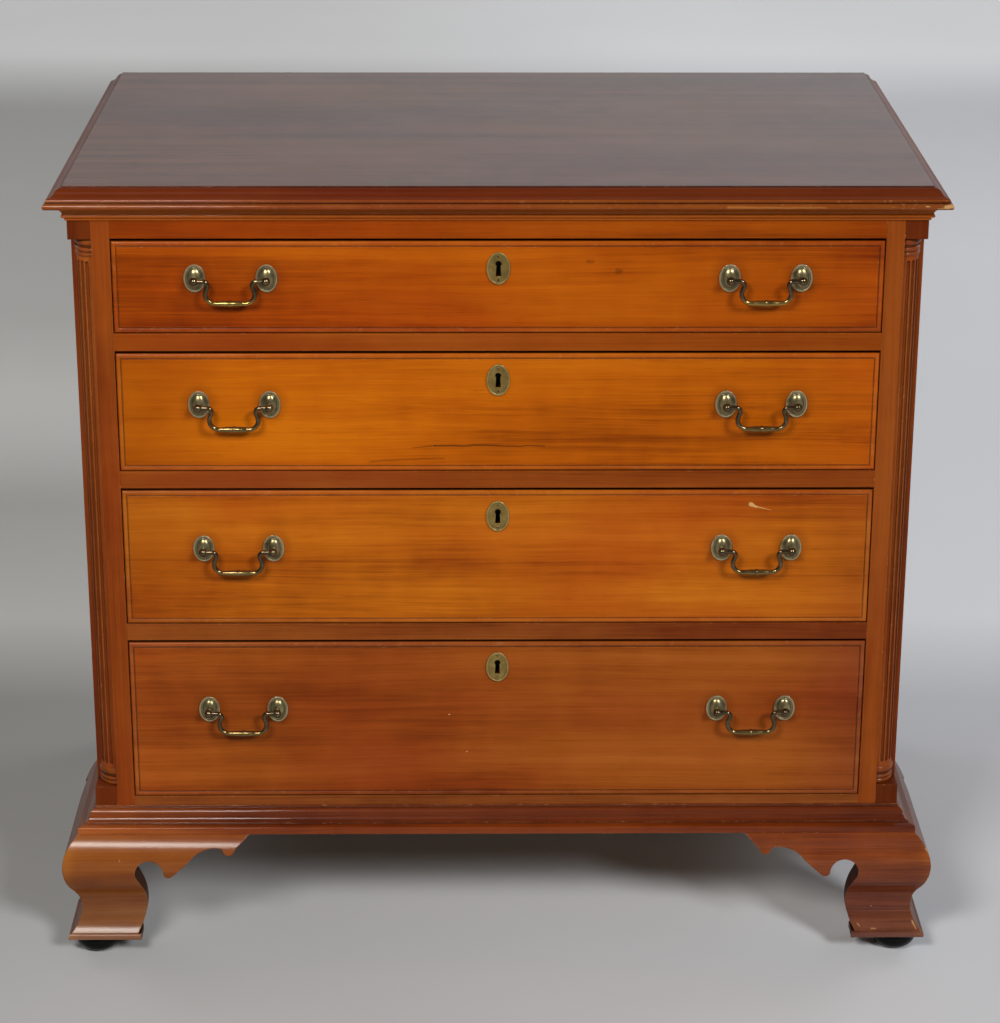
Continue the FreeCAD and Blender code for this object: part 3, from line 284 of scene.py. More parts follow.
def bare_wood(name, grain, seed, dark, mid, light, saw=0.0, rows=None):
    """Unfinished board: open grain, growth bands, darkening in hollows and handling stains.

    Saw is the strength of saw marks. Rows is (low, high, count) for boards set edge to edge up a
    back, each with a grain of its own.
    """
    shade = Shade(name)
    place, axes, board = along(shade, grain, seed)
    start = 0.52
    if rows:
        low, high, count = rows
        level = shade.node("MapRange", {0: axes["z"], 1: low, 2: high, 3: 0.0, 4: float(count)})
        row = shade.math("FLOOR", level)
        start = shade.math("MULTIPLY_ADD", shade.math("SINE", shade.math("MULTIPLY", row, 12.9)), 0.10, start)
        step = shade.node("CombineXYZ", {0: row, 1: row, 2: row})
        board = shade.vector("ADD", board, shade.vector("MULTIPLY", step, (2.3, 0.71, 1.37)))
    fibre = swayed(shade, board, 0.035)
    waves = {"Vector": fibre, "Scale": 28.0, "Distortion": 3.0, "Detail": 2.0, "Detail Scale": 0.8}
    growth = shade.node("TexWave", waves, 1, wave_type="BANDS", bands_direction="Z")
    lines = shade.noise(fibre, (1.1, 75, 75), 6, 0.62)
    fine = shade.noise(fibre, (12, 600, 600), 3, 0.6)
    patch = shade.noise(board, (1.9, 4.5, 4.5), 4, 0.55)
    tone = shade.blend(start, lines, 0.75)
    tone = shade.blend(tone, growth, 0.12)
    tone = shade.blend(tone, fine, 0.45)
    tone = shade.blend(tone, patch, 0.80)
    body = shade.tones(tone, [(0.1, dark), (0.5, mid), (0.9, light)])
    pores = shade.ramp(shade.noise(fibre, (30, 1100, 1100), 2, 0.5), 0.60, 0.72)
    body = shade.mix(shade.math("MULTIPLY", pores, 0.35), body, colour(dark, 0.55))
    spill = shade.ramp(shade.noise(place, (3.1, 3.1, 3.1), 5, 0.62), 0.54, 0.72)
    body = shade.mix(shade.math("MULTIPLY", spill, 0.32), body, colour(dark, 0.75))
    rounded, turn, air = shade.edges(radius=0.0010)
    arris = shade.math("MULTIPLY", shade.ramp(turn, 0.02, 0.25), shade.ramp(air, 0.55, 0.85))
    rubbed = shade.math("MULTIPLY", arris, shade.ramp(shade.noise(place, (60, 60, 60), 3, 0.6), 0.40, 0.65))
    body = shade.mix(shade.math("MULTIPLY", rubbed, 0.5), body, colour(light, 1.15))
    # darker where the board lies in a hollow
    body = shade.mix(shade.ramp(air, 0.85, 0.30, 0.0, 0.6), body, colour(dark, 0.40))
    if rows:
        joint = shade.math("ABSOLUTE", shade.math("SUBTRACT", level, shade.math("ROUND", level)))
        joint = shade.math("MULTIPLY", joint, (high - low) / count)
        body = shade.mix(shade.ramp(joint, 0.0016, 0.0003, 0.0, 0.9), body, colour(dark, 0.12))
    kerf = shade.noise(board, (520, 9, 9), 2, 0.5)
    height = shade.math("MULTIPLY_ADD", kerf, saw, shade.math("MULTIPLY", lines, 0.9))
    height = shade.math("MULTIPLY_ADD", pores, -0.6, height)
    polish = shade.blend(BARE_ROUGH, patch, 0.25)
    normal = shade.bump(height, 0.35, WOOD_DEPTH, rounded)
    return shade.surface(Base_Color=body, Roughness=polish, Normal=normal, Specular_IOR_Level=0.25)


def brass(name, deep, mid, bright, rough, rub=None):
    """Cast brass under an antique patina.

    Rub is (low, high, shine) for brass that hands rub bright: all below low, none above high.
    """
    shade = Shade(name)
    place = shade.node("TexCoord", output="Object")
    cloud = shade.noise(place, (95, 95, 95), 5, 0.6)
    speck = shade.noise(place, (900, 900, 900), 3, 0.6)
    tone = shade.blend(shade.blend(0.5, cloud, 0.9), speck, 0.35)
    body = shade.tones(tone, [(0.15, deep), (0.55, mid), (0.95, bright)])
    rounded, turn, air = shade.edges(radius=0.0006)
    arris = shade.math("MULTIPLY", shade.ramp(turn, 0.02, 0.20), shade.ramp(air, 0.45, 0.80))
    body = shade.mix(shade.math("MULTIPLY", arris, 0.7), body, colour(bright, 1.25))
    polish = shade.blend(rough, cloud, 0.22)
    if rub:
        low, high, shine = rub
        level = shade.split(shade.node("TexCoord", output="Generated"))[2]
        worn = shade.math("MULTIPLY", shade.ramp(level, high, low), shade.ramp(cloud, 0.25, 0.55, 0.55, 1.0))
        body = shade.mix(worn, body, (*shine, 1))
        polish = shade.math("MULTIPLY_ADD", worn, 0.12, polish)
    dark_in_hollows = shade.ramp(air, 0.70, 0.25, 0.0, 0.85)
    body = shade.mix(dark_in_hollows, body, colour(deep, 0.25))
    polish = shade.math("MULTIPLY_ADD", dark_in_hollows, 0.3, polish)
    scratch = shade.noise(place, (300, 2200, 700), 3, 0.6)
    height = shade.math("MULTIPLY_ADD", cloud, 1.2, shade.math("MULTIPLY", scratch, 0.5))
    normal = shade.bump(height, 0.16, FINE_DEPTH, rounded)
    return shade.surface(Base_Color=body, Metallic=0.9, Roughness=polish, Normal=normal)


def iron(name, base, rough):
    """Dark drawn steel with a brown bloom."""
    shade = Shade(name)
    place = shade.node("TexCoord", output="Object")
    cloud = shade.noise(place, (70, 70, 70), 5, 0.65)
    body = shade.tones(cloud, [(0.3, colour(base, 0.5)), (0.55, base), (0.75, (0.16, 0.085, 0.045))])
    rounded, turn, air = shade.edges(radius=0.0005)
    body = shade.mix(shade.ramp(turn, 0.03, 0.25, 0.0, 0.6), body, colour(base, 2.2))
    body = shade.mix(shade.ramp(air, 0.75, 0.3, 0.0, 0.7), body, (0.01, 0.008, 0.006, 1))
    polish = shade.math("MULTIPLY_ADD", cloud, 0.3, rough)
    scratch = shade.noise(place, (150, 1800, 500), 3, 0.6)
    height = shade.math("MULTIPLY_ADD", cloud, 1.0, scratch)
    normal = shade.bump(height, 0.2, FINE_DEPTH, rounded)
    return shade.surface(Base_Color=body, Metallic=0.85, Roughness=polish, Normal=normal)


def black_gloss(name):
    """Moulded black glide: glossy, with scuffs and a little dust low down."""
    shade = Shade(name)
    place = shade.node("TexCoord", output="Object")
    haze = shade.noise(place, (120, 120, 120), 5, 0.6)
    low = shade.ramp(shade.split(place)[2], 0.004, 0.0, 0.0, 0.05)
    body = shade.tones(haze, [(0.3, (0.002, 0.002, 0.002)), (0.7, (0.005, 0.005, 0.004))])
    body = shade.mix(shade.math("MULTIPLY", low, haze), body, (0.07, 0.065, 0.06, 1))
    polish = shade.math("MULTIPLY_ADD", haze, 0.10, 0.05)
    polish = shade.math("MULTIPLY_ADD", low, 0.5, polish)
    rounded, turn, _ = shade.edges(radius=0.0006)
    body = shade.mix(shade.ramp(turn, 0.05, 0.3, 0.0, 0.2), body, (0.04, 0.04, 0.04, 1))
    scuff = shade.noise(place, (900, 900, 260), 3, 0.6)
    normal = shade.bump(scuff, 0.08, FINE_DEPTH, rounded)
    return shade.surface(Base_Color=body, Roughness=polish, Normal=normal, Specular_IOR_Level=0.10)


def dress(node, *materials):
    """Puts materials on a node in place of its own."""
    slots = nodes[node].data.materials
    slots.clear()
    for material in materials:
        slots.append(material)


def dress_faces(node, materials, choose):
    """Gives each face of a node the material that choose names for it."""
    mesh = nodes[node].data
    dress(node, *materials)
    for face in mesh.polygons:
        face.material_index = choose(face)


def on_side(face):
    """1 for a face past the mitre of the front corners, on a side run."""
    return int(abs(face.center.x) - half_width > front_plane - face.center.y)


def turned_end(face):
    """1 for a face of a column's base or capital."""
    return int(not shaft_low < face.center.z < shaft_high)


# case
TURNED_LENGTH = 0.0215
shaft_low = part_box("quarter_column_left")[0].z + TURNED_LENGTH
shaft_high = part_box("quarter_column_left")[1].z - TURNED_LENGTH
RAIL = stain(0.228, 0.0445, 0.002)
UPRIGHT = stain(0.232, 0.050, 0.005)
RAIL_SHADE = ("z", 0.80, 0.15, (1.00, 1.38, 5.4))
FRIEZE_SHADES = [("x", -0.30, -0.42, (0.75, 0.65, 0.8)), ("x", 0.30, 0.42, (0.85, 0.75, 0.8))]
rail = wood("rail_wood", "x", 3, RAIL, SATIN, wear=0.5, shades=[RAIL_SHADE])
frieze = wood("frieze_wood", "x", 14, stain(0.285, 0.054, 0.001), SATIN, wear=0.5, shades=FRIEZE_SHADES)
upright = wood("upright_wood", "z", 4, UPRIGHT, SATIN, wear=0.7, cloud=1.3)
shaft = wood("column_wood", "z", 15, stain(0.290, 0.068, 0.010), SATIN, wear=0.9, grime_and_shade=0.95,
             hollow=(0.90, 0.52))
turning = wood("turned_wood", "z", 19, stain(0.210, 0.048, 0.006), RUBBED, wear=0.9, grime_and_shade=0.9,
               hollow=(0.90, 0.45))
block = wood("block_wood", "z", 16, stain(0.118, 0.021, 0.0025), SATIN, wear=0.9)
panel = wood("panel_wood", "z", 5, stain(0.215, 0.045, 0.005), SIDE_SATIN, wear=0.6, figure=1.2)
dress("top_rail", frieze)
dress("drawer_dividers", rail)
dress("bottom_rail", rail)
for side in SIDES:
    dress(f"front_stile_{side}", upright)
    dress_faces(f"quarter_column_{side}", (shaft, turning), turned_end)
    dress(f"side_panel_{side}", panel)
dress("column_blocks", block)

# top: a polished flat, and moulded edges in the colour of the case
top_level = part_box("top_board")[1].z
LIP_DROP = 0.0118
UNDERSIDE = -0.6
HANDLED = ("x", 0.20, 0.46)
flat_wood = wood("top_wood", "x", 10, stain(0.082, 0.022, 0.007), POLISHED, figure=2.3, cloud=1.5, wear=0.8)
EDGE = stain(0.165, 0.030, 0.0015)
# painted shade: the ogee band high on the moulded edges is darker than the bead and nosing below
OGEE_PAINTED_SHADE = ("z", top_level - 0.014, top_level - 0.008, (0.62, 0.50, 0.6))
front_edge = wood("top_edge_wood", "x", 11, EDGE, RUBBED, wear=1.0, grime_and_shade=0.85, hollow=DEEP_HOLLOW,
                  handled=HANDLED, shades=[OGEE_PAINTED_SHADE])
side_edge = wood("top_side_edge_wood", "y", 12, EDGE, RUBBED, wear=1.0, grime_and_shade=0.75, shades=[OGEE_PAINTED_SHADE])
LIP_MARKS_AND_SHEEN = [
    ((0.4780, 0.9052), (0.4868, 0.9062), 0.0016, 0.0022, 0.6, 0.003, RAW_WOOD, 0.75),
    ((0.4575, 0.9058), (0.4610, 0.9056), 0.0009, 0.0006, 0.6, 0.002, RAW_WOOD, 0.60),
    ((0.4700, 0.9032), (0.4820, 0.9036), 0.0005, 0.0008, 0.6, 0.002, RAW_WOOD, 0.60),
    # pale band along the bead: wear, and a painted highlight
    ((0.2450, 0.9044), (0.3500, 0.9044), 0.0012, 0.0007, 0.9, 0.003, WORN_SHEEN_TONE, 0.42),
]
lip = wood("top_bead_wood", "x", 13, stain(0.185, 0.039, 0.002), BEADED, wear=0.80, crest_wear_and_sheen=0.14, grime_and_shade=0.85,
           hollow=DEEP_HOLLOW, handled=HANDLED, marks=LIP_MARKS_AND_SHEEN)


def top_part(face):
    """0 for the flat, 1 for the front edge and the underside, 2 for the side edges, 3 for the front bead."""
    if face.center.z > top_level - SLACK:
        return 0
    if on_side(face):
        return 2
    return 3 if face.center.z < top_level - LIP_DROP and face.normal.z > UNDERSIDE else 1


dress_faces("top_board", (flat_wood, front_edge, side_edge, lip), top_part)

# mouldings and feet
# painted light: the cornice is stained lighter than the case, against the shade under the top's overhang
CORNICE_LIGHTENED = stain(0.350, 0.074, 0.003)
cornice_front = wood("cornice_wood", "x", 17, CORNICE_LIGHTENED, RUBBED, wear=0.8, grime_and_shade=0.7)
cornice_side = wood("side_cornice_wood", "y", 18, CORNICE_LIGHTENED, SIDE_SATIN, wear=0.8, grime_and_shade=0.7)
dress_faces("cornice_moulding", (cornice_front, cornice_side), on_side)
BASE = stain(0.200, 0.044, 0.006)
base_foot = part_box("base_moulding_front")[0].z
BASE_SHADE = ("x", -0.44, -0.28, (0.56, 0.42, 0.36))
BASE_FILLET = ("z", base_foot + 0.011, base_foot + 0.0075, (1.55, 1.7, 1.8))
base_front = wood("base_wood", "x", 6, BASE, BEADED, wear=1.1, grime_and_shade=0.95, figure=1.3, hollow=DEEP_HOLLOW,
                  shades=[BASE_SHADE, BASE_FILLET])
# painted shade: the side runs of the base are stained darker than its front
base_side_shade = wood("side_base_wood", "y", 7, stain(0.110, 0.028, 0.007), SIDE_GLOSS, wear=0.9, grime_and_shade=0.8)
dress("base_moulding_front", base_front)
dress("base_moulding_sides", base_side_shade)
FEET = {"left": stain(0.200, 0.052, 0.006), "right": stain(0.224, 0.056, 0.009)}
# painted shade: the sides of the feet are stained darker than their fronts
FOOT_SIDE_SHADE = stain(0.115, 0.030, 0.007)
PAD_HEIGHT = 0.008
PAD_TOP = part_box("foot_front_left")[0].z + PAD_HEIGHT
# darker and greyer low on the legs: dirt, with a painted sheen
LEG_DIRT_AND_SHEEN = ("z", 0.095, 0.050, (0.76, 0.96, 2.2))
PAD_WEAR = ("z", PAD_TOP + 0.002, PAD_TOP - 0.002, (1.20, 1.45, 2.4))
# lighter at the outer edge of each foot's bulge: wear, and a painted highlight
BULGE_WEAR_AND_GLINT = {
    "left": ("x", -0.484, -0.503, (1.30, 1.45, 1.3)),
    "right": ("x", 0.484, 0.503, (1.45, 1.65, 1.4)),
}
FOOT_RUBS = {
    "left": [
        ((-0.4362, 0.1284), (-0.4354, 0.1270), 0.0006, 0.0004, 0.8, 0.001, RAW_WOOD, 0.45),
    ],
    "right": [
        ((0.4868, 0.0385), (0.4908, 0.0315), 0.0009, 0.0005, 0.7, 0.003, RAW_WOOD, 0.60),
        ((0.4378, 0.0562), (0.4390, 0.0568), 0.0005, 0.0004, 0.8, 0.001, RAW_WOOD, 0.40),
        ((0.4385, 0.0325), (0.4440, 0.0322), 0.0007, 0.0004, 0.9, 0.008, RAW_WOOD, 0.40),
        ((0.4225, 0.0372), (0.4250, 0.0345), 0.0007, 0.0004, 0.9, 0.008, RAW_WOOD, 0.45),
        ((0.4965, 0.1385), (0.5005, 0.1330), 0.0010, 0.0006, 0.8, 0.003, RAW_WOOD, 0.55),
    ],
}
rear_bracket = bare_wood("rear_bracket_wood", "x", 21, dark=(0.10, 0.045, 0.016), mid=(0.21, 0.10, 0.04),
                         light=(0.32, 0.17, 0.075))
BRACKET_REACH, BRACKET_DEPTH = 0.0081, 0.0185
SAWN_TILT = 0.05


def plain_bracket(face):
    """1 for the plain bracket at the back of a rear foot."""
    inward = abs(face.center.x) < half_width + BRACKET_REACH
    return int(inward and face.center.y > back_plane - BRACKET_DEPTH)


def foot_part(face):
    """0 for the front bracket of a front foot, 1 for its side bracket, 2 for their sawn outlines."""
    side = on_side(face)
    return 2 if abs(face.normal.x if side else face.normal.y) < SAWN_TILT else side


# dark end grain on the sawn outlines, darkened further as painted shade
sawn_edge_shade = wood("sawn_edge_wood", "z", 25, stain(0.038, 0.011, 0.004), SATIN, wear=0.8)
for number, side in enumerate(SIDES):
    foot_face = wood(f"foot_wood_{side}", "x", 8 + number, FEET[side], GLOSSY, wear=1.3, grime_and_shade=0.6,
                     figure=1.3, cloud=1.7, shades=[LEG_DIRT_AND_SHEEN, PAD_WEAR, BULGE_WEAR_AND_GLINT[side]],
                     marks=FOOT_RUBS[side])
    foot_side_shade = wood(f"side_foot_wood_{side}", "y", 23 + number, FOOT_SIDE_SHADE, SIDE_GLOSS, wear=0.9)
    dress_faces(f"foot_front_{side}", (foot_face, foot_side_shade, sawn_edge_shade), foot_part)
    dress_faces(f"foot_rear_{side}", (foot_side_shade, rear_bracket), plain_bracket)

# woods inside and behind the case
PINE = dict(dark=(0.20, 0.11, 0.045), mid=(0.43, 0.27, 0.13), light=(0.58, 0.41, 0.23))
AGED = dict(dark=(0.13, 0.065, 0.026), mid=(0.29, 0.165, 0.075), light=(0.41, 0.26, 0.135))
back_low, back_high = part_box("back_boards")
BOARD_COUNT = 4
back_rows = (back_low.z, back_high.z, BOARD_COUNT)
dress("back_boards", bare_wood("back_wood", "x", 31, saw=0.9, rows=back_rows, **AGED))
dress("case_floor", bare_wood("floor_wood", "x", 32, **AGED))
dress("drawer_runners", bare_wood("runner_wood", "y", 33, **AGED))
dress("drawer_stops", bare_wood("stop_wood", "x", 34, **AGED))
dress("foot_glue_blocks", bare_wood("glue_block_wood", "z", 35, saw=0.6, **AGED))
dress("floor_glides", black_gloss("black_glide"))

# drawers
side_wood = bare_wood("drawer_side_wood", "y", 36, **PINE)
rear_wood = bare_wood("drawer_back_wood", "x", 37, **PINE)
bottom_wood = bare_wood("drawer_bottom_wood", "x", 38, saw=0.3, **PINE)
back_of_front = bare_wood("front_back_wood", "x", 45, **PINE)
plate_rim = brass("plate_rim_brass", (0.20, 0.145, 0.050), (0.42, 0.315, 0.115), (0.60, 0.49, 0.22), 0.36)
plate_brass = brass("plate_brass", (0.14, 0.092, 0.026), (0.32, 0.215, 0.062), (0.48, 0.37, 0.13), 0.40)
mount_brass = brass("mount_brass", (0.10, 0.080, 0.038), (0.28, 0.231, 0.115), (0.50, 0.44, 0.27), 0.30)
rim_brass = brass("rim_brass", (0.22, 0.18, 0.090), (0.46, 0.39, 0.220), (0.66, 0.58, 0.37), 0.36)
post_brass = brass("post_brass", (0.045, 0.033, 0.018), (0.130, 0.098, 0.052), (0.46, 0.39, 0.25), 0.10)
BAIL = ((0.040, 0.028, 0.015), (0.120, 0.086, 0.046), (0.38, 0.29, 0.165), 0.12)
# rubbed bright at the bar by hands; on the top drawer brighter still, as a painted highlight
worn_glinting_bail = brass("worn_bail_brass", *BAIL, (0.05, 0.42, (0.37, 0.245, 0.062)))
dark_bail = brass("dark_bail_brass", *BAIL, (0.05, 0.42, (0.24, 0.16, 0.055)))
lock_iron = iron("lock_iron", (0.085, 0.080, 0.075), 0.35)
INK = (0.060, 0.014, 0.002)
# tone of the painted shade and grime round each pull
HALO_SHADE_AND_GRIME = (0.120, 0.022, 0.002)
PALE = (0.62, 0.40, 0.15)
# stain of each front, and its marks as in wood()
FRONTS = {
    "drawer_1": (stain(0.322, 0.063, 0.001), [
        ((0.130, 0.8270), (0.133, 0.8272), 0.0032, 0.0020, 0.6, 0.0, INK, 0.45),
        ((0.097, 0.8380), (0.102, 0.8380), 0.0024, 0.0020, 0.7, 0.0, INK, 0.35),
    ]),
    "drawer_2": (stain(0.378, 0.083, 0.001), [
        ((-0.070, 0.6256), (0.0515, 0.6253), 0.0011, 0.0007, 0.7, 0.006, INK, 0.75),
        ((-0.070, 0.6256), (-0.0946, 0.6225), 0.0008, 0.0005, 0.7, 0.003, INK, 0.60),
        ((-0.142, 0.6070), (-0.060, 0.6105), 0.0010, 0.0008, 0.8, 0.004, INK, 0.40),
    ]),
    "drawer_3": (stain(0.402, 0.104, 0.0038), [
        ((0.2830, 0.5550), (0.2890, 0.5520), 0.0024, 0.0010, 0.35, 0.0015, PALE, 0.75),
        ((0.2880, 0.5525), (0.3060, 0.5480), 0.0010, 0.0003, 0.50, 0.0015, PALE, 0.50),
    ]),
    "drawer_4": (stain(0.266, 0.063, 0.006), [
        ((-0.0555, 0.2960), (-0.0545, 0.2960), 0.0007, 0.0005, 0.5, 0.0, PALE, 0.8),
        ((-0.0352, 0.2485), (-0.0344, 0.2490), 0.0006, 0.0005, 0.5, 0.0, PALE, 0.7),
    ]),
}
BEAD_WIDTH, BEAD_DEPTH = 0.0062, 0.0021
WIRE = 0.0026
ROSETTE, ROSETTE_DOME, ROSETTE_RIM = (0.0235, 0.0310), 0.0062, 0.86
KEY_PLATE, PLATE_DROP, PLATE_RIM = (0.0255, 0.0360), 0.0300, 0.87
SHUT_TILT = 0.3
# painted shade: the edges that shut into the case are stained near black, for the shade in the gaps
gap_shade_edge = wood("shut_edge_wood", "x", 46, stain(0.060, 0.015, 0.003), SATIN, wear=0.5)
# strength of the grain of each front, and how light its left and right ends are
FIGURE = {"drawer_1": 1.25, "drawer_2": 1.25, "drawer_3": 1.15, "drawer_4": 0.95}
ENDS = {
    "drawer_1": (0.92, 0.98),
    "drawer_2": (0.76, 1.04),
    "drawer_3": (0.78, 0.84),
    "drawer_4": (1.12, 0.82),
}
LEFT_FADE, RIGHT_FADE, FOOT_FADE, HEAD_FADE = 0.15, 0.10, 0.022, 0.018
RIM_TINT = (0.88, 0.80, 0.8)


def posts(drawer):
    """Where the posts of a drawer's pulls stand on its front, as (x, z)."""
    low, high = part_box(f"{drawer}_pull_mounts")
    spots = []
    for side in SIDES:
        inner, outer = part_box(f"{drawer}_bail_{side}")
        spots += [(inner.x + WIRE, (low.z + high.z) / 2), (outer.x - WIRE, (low.z + high.z) / 2)]
    return spots


def plate_middle(drawer):
    """Height of the middle of a drawer's key plate."""
    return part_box(f"{drawer}_front")[1].z - PLATE_DROP


def front_wood(drawer, seed):
    """Wood of a drawer front, toned darker towards its edges, with painted shade and grime round its pulls.
    """
    low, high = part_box(f"{drawer}_front")
    tones, marks = FRONTS[drawer]
    left, right = ENDS[drawer]
    shades = [
        ("x", low.x + LEFT_FADE, low.x, (left, left * 0.94, left)),
        ("x", high.x - RIGHT_FADE, high.x, (right, right * 0.92, right * 1.6)),
        ("z", low.z + FOOT_FADE, low.z, RIM_TINT),
        ("z", high.z - HEAD_FADE, high.z, RIM_TINT),
    ]
    halos = []
    # painted shade of each pull, with grime, in a soft ring round and just below its post
    for x, z in posts(drawer):
        halos.append(((x, z + 0.002), (x, z - 0.004), 0.019, 0.018, 0.30, 0.004, HALO_SHADE_AND_GRIME, 0.28))
    field = wood(f"front_wood_{drawer}", "x", seed, tones, SATIN, figure=FIGURE[drawer], cloud=1.4,
                 hollow=FRONT_HOLLOW, shades=shades, marks=halos + marks)
    bead = wood(f"bead_wood_{drawer}", "x", seed, tones, LIPPED, wear=0.6, crest_wear_and_sheen=0.15, hollow=FRONT_HOLLOW,
                shades=shades)
    return field, back_of_front, bead, gap_shade_edge


def front_part(drawer):
    """Chooser of the part of a front: 0 field, 1 back, 2 bead, 3 the edges that shut into the case."""
    low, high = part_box(f"{drawer}_front")

    def choose(face):
        x, y, z = face.center
        if y > high.y - SLACK:
            return 1
        rim = min(x - low.x, high.x - x, z - low.z, high.z - z)
        if y < low.y + BEAD_DEPTH and rim < BEAD_WIDTH:
            return 2
        return 3 if abs(face.normal.y) < SHUT_TILT else 0

    return choose


def in_oval(face, centre, width, height):
    """How far out a face lies in an upright oval, 1 on its outline."""
    return math.hypot((face.center.x - centre[0]) * 2 / width, (face.center.z - centre[1]) * 2 / height)


def mount_part(centres):
    """Chooser of the part of the pulls' mounts: 0 rosette, 1 ball and neck, 2 rim of a rosette."""

    def choose(face):
        if face.center.y < front_plane - ROSETTE_DOME:
            return 1
        spread = min(in_oval(face, centre, *ROSETTE) for centre in centres)
        return 2 if spread > ROSETTE_RIM and face.center.y < front_plane else 0

    return choose


def plate_part(centre):
    """Chooser of the part of a lock: 0 key plate, 1 lock behind the front, 2 rim of the plate."""

    def choose(face):
        if face.center.y > front_plane + SLACK:
            return 1
        return 2 if in_oval(face, centre, *KEY_PLATE) > PLATE_RIM else 0

    return choose


for number, drawer in enumerate(DRAWERS):
    dress_faces(f"{drawer}_front", front_wood(drawer, 51 + number), front_part(drawer))
    dress(f"{drawer}_sides", side_wood)
    dress(f"{drawer}_back", rear_wood)
    dress(f"{drawer}_bottom", bottom_wood)
    dress_faces(f"{drawer}_pull_mounts", (mount_brass, post_brass, rim_brass), mount_part(posts(drawer)))
    dress_faces(f"{drawer}_lock", (plate_brass, lock_iron, plate_rim), plate_part((0, plate_middle(drawer))))
    dress(f"{drawer}_lock_bolt", plate_brass)
    for side in SIDES:
        dress(f"{drawer}_bail_{side}", worn_glinting_bail if drawer == "drawer_1" else dark_bail)


# small fittings
WALL_TILT = 0.2


def fitting(name, build, places, facing, body, material):
    """One piece of several turned heads, each built at the origin facing +Z and set at its place."""
    mesh = bpy.data.meshes.new(name)
    heads = bmesh.new()
    turn = Vector(facing).to_track_quat("Z", "Y").to_matrix().to_4x4()
    for place, spin in places:
        known = len(heads.verts)
        build(heads)
        heads.verts.ensure_lookup_table()
        move = Matrix.Translation(place) @ turn @ Matrix.Rotation(spin, 4, "Z")
        for vertex in heads.verts[known:]:
            vertex.co = move @ vertex.co
    bmesh.ops.recalc_face_normals(heads, faces=heads.faces)
    heads.to_mesh(mesh)
    heads.free()
    for face in mesh.polygons:
        face.use_smooth = len(face.vertices) == 4 and abs(face.normal.dot(Vector(facing))) > WALL_TILT
    mesh.materials.append(material)
    piece = bpy.data.objects.new(name, mesh)
    bpy.context.scene.collection.objects.link(piece)
    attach(piece, body)


def lathe(heads, profile, sides):
    """Closed turning from a profile of (radius, height) that starts and ends on the axis."""
    rows = []
    for radius, height in profile[1:-1]:
        turns = [math.tau * step / sides for step in range(sides)]
        rows.append([heads.verts.new((radius * math.cos(a), radius * math.sin(a), height)) for a in turns])
    foot = heads.verts.new((0, 0, profile[0][1]))
    crown = heads.verts.new((0, 0, profile[-1][1]))
    for step in range(sides):
        after = (step + 1) % sides
        heads.faces.new((foot, rows[0][after], rows[0][step]))
        heads.faces.new((crown, rows[-1][step], rows[-1][after]))
        for lower, upper in zip(rows, rows[1:]):
            heads.faces.new((lower[step], lower[after], upper[after], upper[step]))


def dome(radius, height, sunk):
    """Profile of a domed head on a short shank."""
    steps = 5
    points = [(0, -sunk), (radius * 0.45, -sunk), (radius * 0.45, -0.00005), (radius, 0)]
    for step in range(1, steps):
        angle = math.pi / 2 * step / steps
        points.append((radius * math.cos(angle), height * math.sin(angle)))
    return points + [(0, height)]


def brass_pin(heads):
    """Small domed pin of a key plate."""
    lathe(heads, dome(radius=0.00135, height=0.00075, sunk=0.0008), 20)


def nail_head(heads):
    """Hammered head with a flat facet on the crown of a low dome."""
    lathe(heads, [(0, -0.001), (0.0012, -0.001), (0.0012, 0.0), (0.0029, 0.0), (0.0027, 0.0006),
                  (0.0017, 0.0012), (0.0008, 0.0013), (0, 0.0012)], 9)


def slotted_screw(heads):
    """Round screw head cut across by a slot with a flat floor."""
    radius, half_slot, floor, crown, sunk = 0.0031, 0.00038, 0.0003, 0.0011, 0.0006
    inner, outer = radius * 0.6, radius * 0.9
    lathe(heads, [(0, -sunk), (inner, -sunk), (outer, 0), (outer, floor), (0, floor)], 24)
    reach = math.asin(half_slot / radius)
    steps = 14
    for sign in (1, -1):
        arc = [reach + (math.pi - 2 * reach) * step / steps for step in range(steps + 1)]
        rings = []
        for share, height in ((1.0, 0.00005), (1.0, 0.0005), (0.82, 0.0009), (0.5, crown)):
            ring = []
            for angle in arc:
                x = radius * share * math.cos(angle)
                y = max(half_slot, radius * share * math.sin(angle))
                ring.append(heads.verts.new((x * sign, y * sign, height)))
            rings.append(ring)
        for lower, upper in zip(rings, rings[1:]):
            for step in range(steps):
                heads.faces.new((lower[step], lower[step + 1], upper[step + 1], upper[step]))
            heads.faces.new((lower[-1], lower[0], upper[0], upper[-1]))
        heads.faces.new(rings[-1])
        heads.faces.new(list(reversed(rings[0])))


